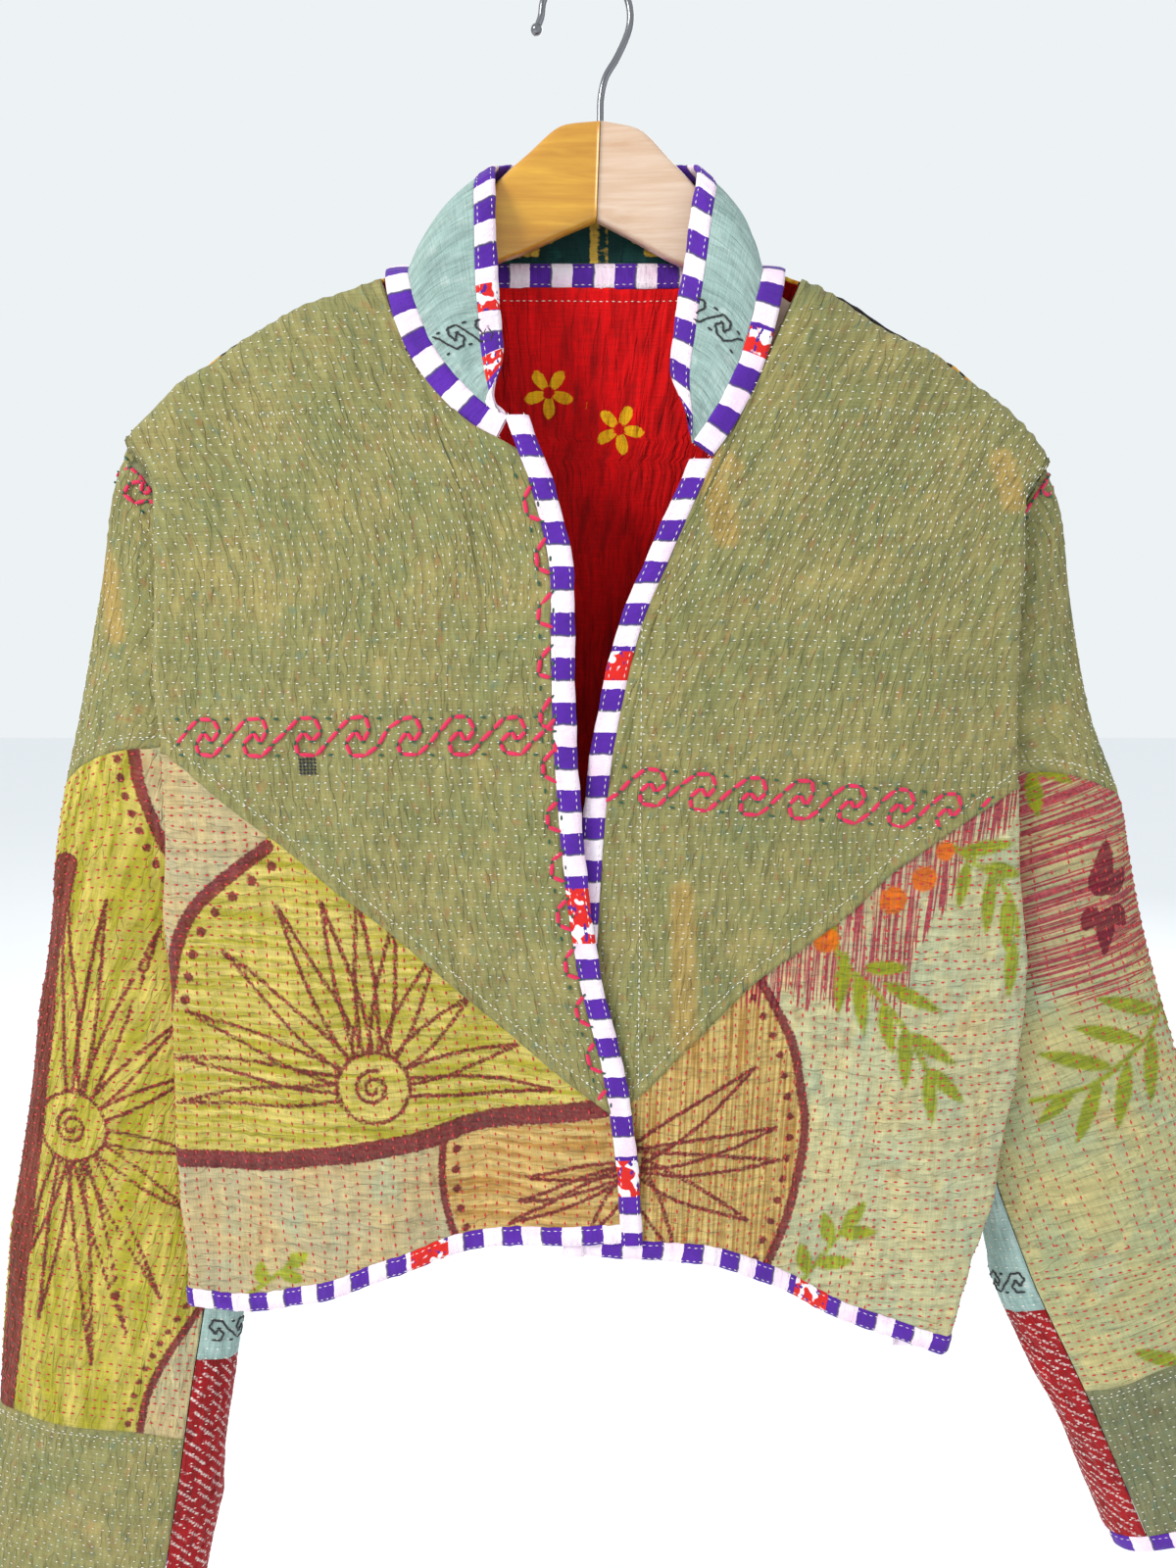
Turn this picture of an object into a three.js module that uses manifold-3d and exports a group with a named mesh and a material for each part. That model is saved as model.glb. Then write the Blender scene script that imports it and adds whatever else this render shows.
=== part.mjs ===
// A kantha jacket on a wooden hanger. Millimetres, +Z up, origin where the hook's crook sits on its peg.
// Left (l) and right (r) are as seen from the front; the front faces -Y.
import * as THREE from "three";
import { mergeVertices } from "three/addons/utils/BufferGeometryUtils.js";
import Module from "manifold-3d";

const wasm = await Module();
wasm.setup();

// Driving sizes
const CLOTH = 2;                       // thickness of the quilted layers
const GAP = 0.3;                       // between two pieces along a seam
const TAPE = { width: 10.5, thick: 3.2 }; // striped binding, folded over an edge
const FOLD = { radius: 4, flat: 0.84, turned: 0.92, tipAngle: 50, allowance: 24, lapped: 4, drop: 45 };
const DEPTH = { front: 52, frontSide: 38, back: 10, backSide: -4, half: 215, lean: 0.09 };
const OVER_ARM = { reach: 10, fall: 10, frontFall: 200, backFall: 160 };
const LAP = { lift: 4, sink: 2, width: 60 }; // the left front lies over the right one
const WAVE = { front: 5, back: 6, length: 150, slant: 0.12 }; // long soft folds down the body
const CLEAR = { edge: 0.45, frontArmhole: 1.5, backArmhole: 1.3, behindFront: 0.2, sideSeam: 0.5 };
const UNDERARM = -428;                 // height where armhole and underarm seam meet
const HOOK = { wire: 3.5, outside: 46, ball: 5.6 };
const HANGER = { joint: 7, thick: 11.5, round: 4, stem: -95, tilt: 0.038 };

const table = (names, ...rows) =>
  rows.map((row) => Object.fromEntries(names.split(" ").map((name, i) => [name, row[i]])));

// Shoulder line of the cloth over the hanger, from side to side
const RIDGE = table("x z",
  [-223, -216], [-190, -187], [-156, -164], [-123, -149], [-89, -137.5], [-45, -128],
  [0, -124], [45, -128], [88.5, -136], [144, -163], [187, -189], [225, -226]);

const SIDES = {
  l: {
    name: "l", sign: -1, tip: -216,
    edge: table("z x", [-223, -21], [-242, -14], [-287, -5], [-334, -5], [-381, -3], [-429, 1],
      [-479, 8], [-530, 20], [-583, 27], [-617, 29]),
    fold: table("z x", [-216, -223], [-241, -210], [-288, -209], [-359, -213], [-434, -214],
      [-511, -215], [-593, -216], [-669, -215]),
    hem: table("x z", [-215, -669], [-188, -672], [-144, -661], [-102, -642], [-50, -627], [1, -622],
      [29, -620]),
    seam: table("x z", [-213, -364], [-120, -437], [-40, -506], [30, -563]),
    edgeTop: -208.5,
    neck: table("x z", [-38.5, -214], [-50, -208], [-73, -184], [-84, -162], [-89, -143]),
    collarEdge: table("x y z", [-46, -44, -202], [-38, -39, -190], [-37, -33, -168], [-39, -26, -143],
      [-41, -19, -106], [-42, -8, -88.5], [-40, 7, -83], [-28, 15, -80]),
    sleeve: table("outerX outerZ innerX innerZ y depth",
      [-222, -220, -202, -246, -21, 4], [-231, -242, -200, -276, -19, 6], [-241, -288, -196, -318, -17, 8],
      [-256, -348, -192, -372, -16, 10], [-271, -405, -190, -428, -14, 12],
      [-281, -462, -187, -486, -13, 13], [-298, -549, -184, -572, -12.5, 13.5],
      [-321, -664, -194, -686, -12, 15], [-334, -750, -208, -772, -10, 19],
      [-352, -862, -230, -884, -8, 22]),
    sleeveSeams: { upper: 0.357, slant: 0.0575, cuff: 0.875, back: 0.81 },
  },
  r: {
    name: "r", sign: 1, tip: -226,
    edge: table("z x", [-238, 44], [-274, 28], [-306, 15], [-334, 8], [-381, 0], [-431, -4], [-630, -12]),
    fold: table("z x", [-226, 225], [-246, 212], [-288, 212], [-359, 215], [-434, 221], [-511, 228],
      [-593, 217], [-649, 203], [-693, 194]),
    hem: table("x z", [-12, -630], [52, -633], [94, -649], [131, -670], [169, -684], [194, -693]),
    seam: table("x z", [-10, -572], [26, -542], [50, -516], [94, -475], [127, -450], [160, -420],
      [216, -383]),
    edgeTop: -228,
    neck: table("x z", [54, -224], [64, -210], [76, -187], [83, -165], [88, -143]),
    collarEdge: table("x y z", [44, -43, -208], [38, -38, -188], [40, -32, -163], [44, -26, -138],
      [49, -19, -106], [52, -8, -89], [48, 7, -83], [30, 15, -80]),
    sleeve: table("outerX outerZ innerX innerZ y depth",
      [223.5, -230, 205, -254, -21, 4], [232, -250, 202, -284, -19, 6], [240, -288, 199, -322, -17, 8],
      [254, -346, 197, -376, -16, 10], [276, -403, 197, -430, -14, 12],
      [292, -462, 198, -492, -13, 13], [318, -543, 206, -580, -12.5, 13.5],
      [343, -622, 226, -660, -12, 15], [376, -705, 266, -745, -10, 19],
      [413, -796, 309, -839, -8, 22]),
    sleeveSeams: { upper: 0.379, slant: 0.0585, cuff: 0.875, back: 0.81 },
  },
};

// Curves
const lerp = THREE.MathUtils.lerp;
const smooth = (t) => THREE.MathUtils.smoothstep(t, 0, 1);
const round = (t) => Math.sqrt(1 - (1 - THREE.MathUtils.clamp(t, 0, 1)) ** 2);
const steps = (from, to, count) => Array.from({ length: count + 1 }, (_, i) => lerp(from, to, i / count));

// Value of one column of a table where another column has the value at: smooth, with no overshoot
function along(rows, from, to, at) {
  const last = rows.length - 1;
  const rise = (i) => (rows[i + 1][to] - rows[i][to]) / (rows[i + 1][from] - rows[i][from]);
  const slope = (i) => {
    if (i === 0 || i === last) return rise(i === 0 ? 0 : last - 1);
    const [a, b] = [rise(i - 1), rise(i)];
    return a * b <= 0 ? 0 : (2 * a * b) / (a + b);
  };
  const ahead = Math.sign(rows[last][from] - rows[0][from]);
  if ((at - rows[0][from]) * ahead <= 0) return rows[0][to] + rise(0) * (at - rows[0][from]);
  if ((at - rows[last][from]) * ahead >= 0) return rows[last][to] + rise(last - 1) * (at - rows[last][from]);
  let i = 0;
  while ((at - rows[i + 1][from]) * ahead > 0) i += 1;
  const span = rows[i + 1][from] - rows[i][from];
  const t = (at - rows[i][from]) / span;
  return rows[i][to] * (1 + 2 * t) * (1 - t) ** 2 + rows[i + 1][to] * t * t * (3 - 2 * t)
    + span * (slope(i) * t * (1 - t) ** 2 - slope(i + 1) * t * t * (1 - t));
}

// Height where a panel's column, x = columnX(z), crosses the line z = lineZ(x)
function crossing(columnX, lineZ, start) {
  let z = start;
  for (let i = 0; i < 40; i += 1) z = lerp(z, lineZ(columnX(z)), 0.5);
  return z;
}

const ridgeZ = (x) => along(RIDGE, "x", "z", x);
const ridgeY = (x) => -DEPTH.lean * Math.abs(x);
function wave(x, z, height) {
  const fallen = smooth((-z - 300) / 400);
  return height * fallen * Math.sin((2 * Math.PI * (x + z * WAVE.slant)) / WAVE.length);
}

// Body cloth
function frontY(side, x, z) {
  const full = -DEPTH.front + (DEPTH.front - DEPTH.frontSide) * (x / DEPTH.half) ** 2;
  const top = ridgeY(x) - OVER_ARM.reach;
  const below = ridgeZ(x) - z;
  const near = smooth(1 - (x * side.sign) / LAP.width);
  return ridgeY(x) - OVER_ARM.reach * round(below / OVER_ARM.fall)
    + (full - top) * round(below / OVER_ARM.frontFall)
    + near * (side.sign < 0 ? -LAP.lift : LAP.sink) + wave(x, z, WAVE.front) * (1 - near);
}

const turnCentre = (side, z) => along(side.fold, "z", "x", z) - side.sign * (FOLD.radius + CLOTH / 2);

// u is 0 at the front edge, FOLD.flat and FOLD.turned at the two ends of the side fold, 1 at the side seam
function front(side, u, z) {
  const s = side.sign;
  const edge = along(side.edge, "z", "x", z) + s * TAPE.width;
  const centre = turnCentre(side, z);
  if (u <= FOLD.flat) {
    const x = lerp(edge, centre, u / FOLD.flat);
    return new THREE.Vector3(x, frontY(side, x, z), z);
  }
  const y = frontY(side, centre, z);
  const begin = Math.atan(y - frontY(side, centre - s, z));
  const fallen = smooth((side.tip - z) / FOLD.drop);
  const end = lerp(THREE.MathUtils.degToRad(FOLD.tipAngle), Math.PI, fallen);
  const angle = lerp(begin, end, Math.min(1, (u - FOLD.flat) / (FOLD.turned - FOLD.flat)));
  const back = Math.max(0, (u - FOLD.turned) / (1 - FOLD.turned))
    * lerp(3, FOLD.allowance, smooth((side.tip - z) / (side.tip - UNDERARM)));
  return new THREE.Vector3(
    centre + s * (FOLD.radius * (Math.sin(angle) - Math.sin(begin)) + back * Math.cos(end)),
    y + FOLD.radius * (Math.cos(begin) - Math.cos(angle)) + back * Math.sin(end),
    z);
}

// The back's side edge lies behind the front's turned allowance
const seamX = (side, z) => front(side, 1, z).x + side.sign * FOLD.lapped;

function backY(x, z) {
  const side = x < 0 ? SIDES.l : SIDES.r;
  const [inner, sewnFrom] = [115, -330];
  const f = smooth((Math.abs(x) - inner) / (Math.abs(seamX(side, z)) - inner));
  const sewn = smooth((sewnFrom - z) / (sewnFrom - UNDERARM));
  const atSide = lerp(DEPTH.backSide, front(side, 1, z).y + CLOTH + CLEAR.sideSeam, sewn);
  const full = lerp(DEPTH.back + wave(x, z, WAVE.back), atSide, f);
  const below = ridgeZ(x) - z;
  const top = ridgeY(x) + OVER_ARM.reach;
  return ridgeY(x) + OVER_ARM.reach * round(below / OVER_ARM.fall)
    + (full - top) * round(below / OVER_ARM.backFall);
}

// u runs from -1 at the left side seam to 1 at the right one
function back(u, z) {
  const x = lerp(seamX(SIDES.l, z), seamX(SIDES.r, z), (u + 1) / 2);
  return new THREE.Vector3(x, backY(x, z), z);
}

const NECK = { shoulder: 88.5, ridge: 95, back: 76, backMid: 52, backZ: -139.5 };

// Neck line, moved out by a distance onto the panels (positive) or up the collar (negative)
function neckLine(side, out) {
  const shoulder = { x: side.sign * NECK.shoulder, z: -135 };
  const line = [...side.neck, shoulder];
  return line.map((p, i) => {
    const [a, b] = [line[Math.max(0, i - 1)], line[Math.min(line.length - 1, i + 1)]];
    const length = Math.hypot(b.x - a.x, b.z - a.z);
    return { x: p.x + (side.sign * out * (b.z - a.z)) / length, z: p.z - (out * Math.abs(b.x - a.x)) / length };
  });
}

function topZ(side, x) {
  const line = neckLine(side, TAPE.width / 2);
  const shoulder = line[line.length - 1].x;
  return (x - shoulder) * side.sign >= 0 ? ridgeZ(x) : Math.min(ridgeZ(x), along(line, "x", "z", x));
}

const HEM_BACK = table("x z", [-190, -670], [-110, -650], [0, -640], [100, -652], [168, -674]);

function frontTop(side, u) {
  if (u >= FOLD.flat) return side.tip;
  return crossing((z) => front(side, u, z).x, (x) => topZ(side, x), -300);
}
const frontCross = (side, u, line) =>
  crossing((z) => front(side, Math.min(u, FOLD.flat), z).x, (x) => along(line, "x", "z", x), -500);
const frontHem = (side, u) => frontCross(side, u, side.hem) + TAPE.width;
const frontSeam = (side, u) => frontCross(side, u, side.seam);
function backNeck(x) {
  if (Math.abs(x) > NECK.ridge) return ridgeZ(x);
  const up = smooth((Math.abs(x) - NECK.back) / (NECK.ridge - NECK.back));
  return lerp(NECK.backZ, ridgeZ(Math.sign(x) * NECK.ridge), up);
}
const backTop = (u) => crossing((z) => back(u, z).x, backNeck, -250);
const backHem = (u) =>
  crossing((z) => back(u, z).x, (x) => along(HEM_BACK, "x", "z", x), -600) + TAPE.width;

// Sleeves. v is 0 at the shoulder tip and 1 at the cuff; turn is 0 at the overarm edge, positive round the front
const rowAt = (side, v, column) =>
  along(side.sleeve.map((row, i) => ({ ...row, v: i / (side.sleeve.length - 1) })), "v", column, v);
const FREE = 4 / 9; // from here down the sleeve is a closed tube

const squarish = (t) => Math.sign(t) * Math.abs(t) ** 0.8;

function sleeveLoop(side, v, turn) {
  const across = (1 + squarish(Math.cos(turn))) / 2;
  const y = rowAt(side, v, "y") - rowAt(side, v, "depth") * squarish(Math.sin(turn));
  return new THREE.Vector3(
    lerp(rowAt(side, v, "innerX"), rowAt(side, v, "outerX"), across), y,
    lerp(rowAt(side, v, "innerZ"), rowAt(side, v, "outerZ"), across));
}

const underarmTurn = (v) => lerp(Math.PI * 0.93, Math.PI * 0.72, smooth((v - FREE) / 0.4));

// Where a sleeve sheet is sewn to the body: behind the front's turned edge, or along the back
function armhole(side, z, onBack) {
  const seam = seamX(side, z);
  if (onBack) return new THREE.Vector3(seam + side.sign * CLEAR.backArmhole, backY(seam, z), z);
  const belowTip = lerp(CLOTH, 0, smooth((side.tip - z) / FOLD.drop));
  const behind = new THREE.Vector3(side.sign * (FOLD.lapped + CLEAR.frontArmhole), CLOTH + GAP, -belowTip);
  return front(side, 1, z).add(behind);
}

// t runs from 0 at the overarm edge to 1 at the armhole or the underarm seam
function sleeve(side, onBack, t, v) {
  const seam = underarmTurn(v);
  const closed = smooth((v - FREE * 0.8) / (FREE * 0.2));
  const end = onBack ? lerp(-0.85 * Math.PI, seam - 2 * Math.PI, closed) : lerp(0.85 * Math.PI, seam, closed);
  const p = sleeveLoop(side, v, t * end);
  if (v >= FREE) return p;
  const z = rowAt(side, v, "innerZ");
  const pull = armhole(side, z, onBack).sub(sleeveLoop(side, v, end));
  p.addScaledVector(pull, (1 - closed) * smooth((t - 0.3) / 0.7));
  if (!onBack) p.y = Math.max(p.y, armhole(side, p.z, false).y + CLEAR.behindFront);
  return p;
}

// Collar: u from -1 at the left front end, over the back, to 1 at the right front end;
// v from the neck seam to the free edge
const COLLAR_BOW = 6;
function collarStations() {
  const half = (side) => {
    const line = neckLine(side, -TAPE.width / 2);
    const onFront = line.map(({ x, z }) => ({ x, y: frontY(side, x, Math.min(z, ridgeZ(x))), z }));
    const behind = [{ x: side.sign * NECK.back, y: 7, z: -131 }, { x: side.sign * NECK.backMid, y: 10, z: -129 }];
    const base = [...onFront, ...behind];
    return base.map((seam, i) => ({ seam, edge: side.collarEdge[i] }));
  };
  const middle = { seam: { x: 0, y: 11, z: -128.5 }, edge: { x: 0, y: 17, z: -79 } };
  return [...half(SIDES.l), middle, ...half(SIDES.r).reverse()];
}
function panelStations() {
  const onBack = (x) => ({ x, y: backY(x, NECK.backZ), z: NECK.backZ });
  const half = (side) => {
    const onFront = neckLine(side, TAPE.width / 2).map(({ x, z }) => ({ x, y: frontY(side, x, z), z }));
    return [...onFront, onBack(side.sign * NECK.back), onBack(side.sign * NECK.backMid)];
  };
  return [...half(SIDES.l), onBack(0), ...half(SIDES.r).reverse()];
}
const curveThrough = (points) => new THREE.CatmullRomCurve3(points.map((p) => new THREE.Vector3(p.x, p.y, p.z)));
const COLLAR = collarStations();
const COLLAR_SEAM = curveThrough(COLLAR.map((station) => station.seam));
const COLLAR_EDGE = curveThrough(COLLAR.map((station) => station.edge));
const PANEL_EDGE = curveThrough(panelStations());

function collar(u, v) {
  const [a, b] = [COLLAR_SEAM.getPoint((u + 1) / 2), COLLAR_EDGE.getPoint((u + 1) / 2)];
  const out = new THREE.Vector3(a.x - 5, a.y + 5, 0).normalize();
  out.z = 0.6;
  return a.lerp(b, v).addScaledVector(out, COLLAR_BOW * Math.sin(Math.PI * v) * (a.distanceTo(b) / 60));
}

// Solids
function solid(positions, index) {
  const geometry = new THREE.BufferGeometry();
  geometry.setAttribute("position", new THREE.Float32BufferAttribute(positions.flatMap((p) => [p.x, p.y, p.z]), 3));
  let volume = 0;
  for (let i = 0; i < index.length; i += 3) {
    const [a, b, c] = [0, 1, 2].map((k) => positions[index[i + k]]);
    volume += a.dot(new THREE.Vector3().crossVectors(b, c));
  }
  geometry.setIndex(volume < 0 ? index.reverse() : index);
  return geometry;
}

function normalAt(surface, a, b) {
  const [da, db] = [0.004, 0.05];
  const alongA = surface(Math.min(1, a + da), b).sub(surface(Math.max(-1, a - da), b));
  const alongB = surface(a, b + db).sub(surface(a, b - db));
  return alongA.cross(alongB).normalize();
}

// A wall of cloth: surface(a, b) is its middle, cells a grid of [a, b]
function wall(surface, cells, normal = normalAt) {
  const [rows, columns] = [cells.length, cells[0].length];
  const [outer, inner] = [[], []];
  for (const row of cells) {
    for (const [a, b] of row) {
      const [p, n] = [surface(a, b), normal(surface, a, b)];
      outer.push(p.clone().addScaledVector(n, CLOTH / 2));
      inner.push(p.clone().addScaledVector(n, -CLOTH / 2));
    }
  }
  const index = [];
  const quad = (a, b, c, d) => index.push(a, b, c, a, c, d);
  const at = (i, j) => i * columns + j;
  const other = rows * columns;
  for (let i = 0; i + 1 < rows; i += 1) {
    for (let j = 0; j + 1 < columns; j += 1) {
      const [a, b, c, d] = [at(i, j), at(i, j + 1), at(i + 1, j + 1), at(i + 1, j)];
      quad(a, b, c, d);
      quad(other + d, other + c, other + b, other + a);
    }
  }
  const rim = [];
  for (let j = 0; j < columns; j += 1) rim.push(at(0, j));
  for (let i = 1; i < rows; i += 1) rim.push(at(i, columns - 1));
  for (let j = columns - 2; j >= 0; j -= 1) rim.push(at(rows - 1, j));
  for (let i = rows - 2; i > 0; i -= 1) rim.push(at(i, 0));
  rim.forEach((a, k) => {
    const b = rim[(k + 1) % rim.length];
    quad(b, a, other + a, other + b);
  });
  return solid([...outer, ...inner], index);
}

// A strip with its section (out, up) carried along stations { point, out, up }
function strip(stations, section, closed = false) {
  const sides = section.length;
  const positions = stations.flatMap(({ point, out, up }) =>
    section.map(([o, n]) => point.clone().addScaledVector(out, o).addScaledVector(up, n)));
  const index = [];
  const count = stations.length;
  for (let i = 0; i < (closed ? count : count - 1); i += 1) {
    for (let k = 0; k < sides; k += 1) {
      const [a, b] = [i * sides + k, i * sides + ((k + 1) % sides)];
      const [c, d] = [((i + 1) % count) * sides + ((k + 1) % sides), ((i + 1) % count) * sides + k];
      index.push(a, b, c, a, c, d);
    }
  }
  if (!closed) {
    for (let k = 1; k + 1 < sides; k += 1) {
      index.push(0, k + 1, k);
      index.push((count - 1) * sides, (count - 1) * sides + k, (count - 1) * sides + k + 1);
    }
  }
  return solid(positions, index);
}

const HALF = TAPE.thick / 2;
const EDGE_SECTION = [[CLEAR.edge, -HALF], [TAPE.width - HALF, -HALF], [TAPE.width, 0],
  [TAPE.width - HALF, HALF], [CLEAR.edge, HALF]];
const NECK_SECTION = [[-0.85, -HALF], [0.76, -HALF], [0.76, HALF], [-0.85, HALF]]; // across in half widths

// Stations along a sheet's edge; toward(a, b) is a point just inside the sheet
function edgeStations(surface, cells, toward, normal = normalAt) {
  return cells.map(([a, b]) => {
    const point = surface(a, b);
    const up = normal(surface, a, b);
    const out = point.clone().sub(toward(a, b));
    out.addScaledVector(up, -out.dot(up)).normalize();
    return { point, out, up };
  });
}

// Colours
const OLIVE = "#a8a376";
const PRINT = "#c9bd84";
const DARK = "#2a2622";
const AQUA = "#a9cfc4";
const RED = "#b5161c";
const STRIPE = "#6a3aa8";
const WOOD = "#b9823f";
const STEEL = "#3a3a3c";

const jacket = new THREE.Group();
function add(name, geometry, color, roughness = 0.9, metalness = 0) {
  const mesh = new THREE.Mesh(geometry, new THREE.MeshStandardMaterial({ color, roughness, metalness }));
  mesh.name = name;
  jacket.add(mesh);
}

const FRONT_COLUMNS = [...steps(0.0008, FOLD.flat, 13), ...steps(FOLD.flat, FOLD.turned, 4).slice(1),
  ...steps(FOLD.turned, 0.9992, 2).slice(1)];
const squared = (count) => steps(0, 1, count).map((t) => t * t);

function addFront(side) {
  const surface = (u, z) => front(side, u, z);
  const upper = squared(12).map((t) => FRONT_COLUMNS.map((u) =>
    [u, lerp(frontTop(side, u) - GAP / 2, frontSeam(side, u) + GAP / 2, t)]));
  add(`front_upper_${side.name}`, wall(surface, upper), OLIVE);
  const lower = steps(0, 1, 6).map((t) => FRONT_COLUMNS.map((u) =>
    [u, lerp(frontSeam(side, u) - GAP / 2, frontHem(side, u), t)]));
  add(`front_lower_${side.name}`, wall(surface, lower), PRINT);
  const rows = [...upper, ...lower.slice(1)].map(([[, z]]) => z);
  const edge = [side.edgeTop, ...rows, frontHem(side, 0) - TAPE.width].map((z) => [0, z]);
  add(`binding_front_${side.name}`,
    strip(edgeStations(surface, edge, (u, z) => surface(0.02, z)), EDGE_SECTION), STRIPE);
  const hem = FRONT_COLUMNS.map((u) => [u, frontHem(side, u)]);
  add(`binding_hem_${side.name}`,
    strip(edgeStations(surface, hem, (u, z) => surface(u, z + 2)), EDGE_SECTION), STRIPE);
}

function addBack() {
  const columns = [-0.9985, ...steps(-0.96, 0.96, 20), 0.9985];
  const cells = squared(15).map((t) => columns.map((u) => [u, lerp(backTop(u) - GAP / 2, backHem(u), t)]));
  add("back", wall(back, cells), DARK);
  const hem = columns.slice(1, -1).map((u) => [u, backHem(u)]);
  add("binding_hem_back", strip(edgeStations(back, hem, (u, z) => back(u, z + 2)), EDGE_SECTION), STRIPE);
}

function sleeveNormal(surface, a, b) {
  const [da, db] = [0.004, 0.01];
  const alongA = surface(a + da, b).sub(surface(a - da, b));
  const alongB = surface(a, b + db).sub(surface(a, Math.max(0, b - db)));
  return alongA.cross(alongB).normalize();
}

function addSleeve(side) {
  const [frontSheet, backSheet] = [false, true].map((onBack) => (t, v) => sleeve(side, onBack, t, v));
  const across = [0.004, 0.04, 0.1, 0.2, 0.35, 0.52, 0.7, 0.84, 0.93, 0.994];
  const acrossBack = [0.003, 0.04, 0.1, 0.2, 0.33, 0.46, 0.6, 0.72, 0.8, 0.87, 0.92, 0.965, 0.997];
  const { upper, slant, cuff, back: backSeam } = side.sleeveSeams;
  const [half, wide, end] = [0.0004, 0.0006, 0.985];
  // The upper seam climbs towards the body, and the rows near it climb with it
  const slanted = (t, v) => {
    const near = v < upper ? smooth(v / upper) : 1 - smooth((v - upper) / (backSeam - upper));
    return v + slant * near * (1 - 2 * t);
  };
  // The rows of front and back match, so that their long seams do
  const shoulder = steps(0, upper, 6);
  const middle = [...steps(upper, backSeam, 7), cuff];
  const inset = (rows) => {
    const [first, last] = [rows[0], rows[rows.length - 1]];
    const clear = (v) => (v === upper ? wide : half);
    return rows.map((v) => v + (v === first && v > 0 ? clear(v) : 0) - (v === last ? clear(v) : 0));
  };
  const pieces = [["upper", frontSheet, across, shoulder, OLIVE],
    ["mid", frontSheet, across, middle, PRINT],
    ["cuff", frontSheet, across, steps(cuff, end, 2), OLIVE],
    ["back", backSheet, acrossBack, [...shoulder, ...middle.slice(1, -1)], AQUA],
    ["back_cuff", backSheet, acrossBack, [backSeam, ...steps(cuff, end, 2)], RED]];
  for (const [name, sheet, columns, rows, color] of pieces) {
    const cells = inset(rows).map((v) => columns.map((t) => [t, slanted(t, v)]));
    add(`sleeve_${name}_${side.name}`, wall(sheet, cells, sleeveNormal), color);
  }
  const ring = (turn, v) => sleeveLoop(side, v, turn * 2 * Math.PI);
  const round = steps(0, 1, 20).slice(1).map((turn) => [turn, end]);
  const ringNormal = (surface, a, b) => {
    const alongA = surface(a + 0.01, b).sub(surface(a - 0.01, b));
    return alongA.cross(surface(a, b).sub(surface(a, b - 0.02))).normalize();
  };
  add(`binding_cuff_${side.name}`,
    strip(edgeStations(ring, round, (a, b) => ring(a, b - 0.02), ringNormal), EDGE_SECTION, true), STRIPE);
}

function collarNormal(surface, a, b) {
  const alongA = surface(Math.min(1, a + 0.01), b).sub(surface(Math.max(-1, a - 0.01), b));
  const alongB = surface(a, b + 0.02).sub(surface(a, b - 0.02));
  return alongA.cross(alongB).normalize();
}

function addCollar() {
  const columns = steps(-1, 1, 32);
  const top = (u) => {
    const height = COLLAR_SEAM.getPoint((u + 1) / 2).distanceTo(COLLAR_EDGE.getPoint((u + 1) / 2));
    return Math.max(0.1, 1 - TAPE.width / height);
  };
  const cells = steps(0, 1, 4).map((t) => columns.map((u) => [u, lerp(0.02, top(u), t)]));
  add("collar", wall(collar, cells, collarNormal), AQUA);
  const edge = edgeStations(collar, columns.map((u) => [u, top(u)]), (u, v) => collar(u, v - 0.05), collarNormal);
  add("binding_collar", strip(edge, EDGE_SECTION), STRIPE);
  const stations = steps(0.004, 0.996, 40).map((t) => {
    const [up, down] = [COLLAR_SEAM.getPoint(t), PANEL_EDGE.getPoint(t)];
    const across = down.clone().sub(up).multiplyScalar(0.5);
    const facing = across.clone().cross(COLLAR_SEAM.getTangent(t)).normalize();
    return { point: up.clone().add(across), out: across, up: facing };
  });
  add("binding_neck", strip(stations, NECK_SECTION), STRIPE);
}

// Wooden hanger
const ARM = table("x top bottom", [0, 0, -45], [-17, -3, -53], [-35, -18, -62], [-49, -31.5, -68],
  [-70, -58.5, -88], [-84, -73.5, -101], [-96, -81.5, -111], [-130, -95, -124], [-163, -112.5, -139],
  [-197, -136, -163], [-213, -153, -173]);

function armOutline(sign) {
  const at = (row, z) => new THREE.Vector2(sign < 0 ? row.x : -row.x, z);
  const shape = new THREE.Shape();
  shape.setFromPoints([...ARM.map((row) => at(row, row.top)), ...ARM.map((row) => at(row, row.bottom)).reverse()]);
  return shape;
}

function toManifold(geometry) {
  const plain = geometry.clone();
  plain.deleteAttribute("normal");
  plain.deleteAttribute("uv");
  const merged = mergeVertices(plain, 1e-4);
  return new wasm.Manifold(new wasm.Mesh({
    numProp: 3,
    vertProperties: new Float32Array(merged.attributes.position.array),
    triVerts: new Uint32Array(merged.index.array),
  }));
}

function fromManifold(manifold) {
  const mesh = manifold.getMesh();
  const geometry = new THREE.BufferGeometry();
  geometry.setAttribute("position", new THREE.BufferAttribute(mesh.vertProperties, 3));
  geometry.setIndex(new THREE.BufferAttribute(mesh.triVerts, 1));
  return geometry;
}

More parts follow.
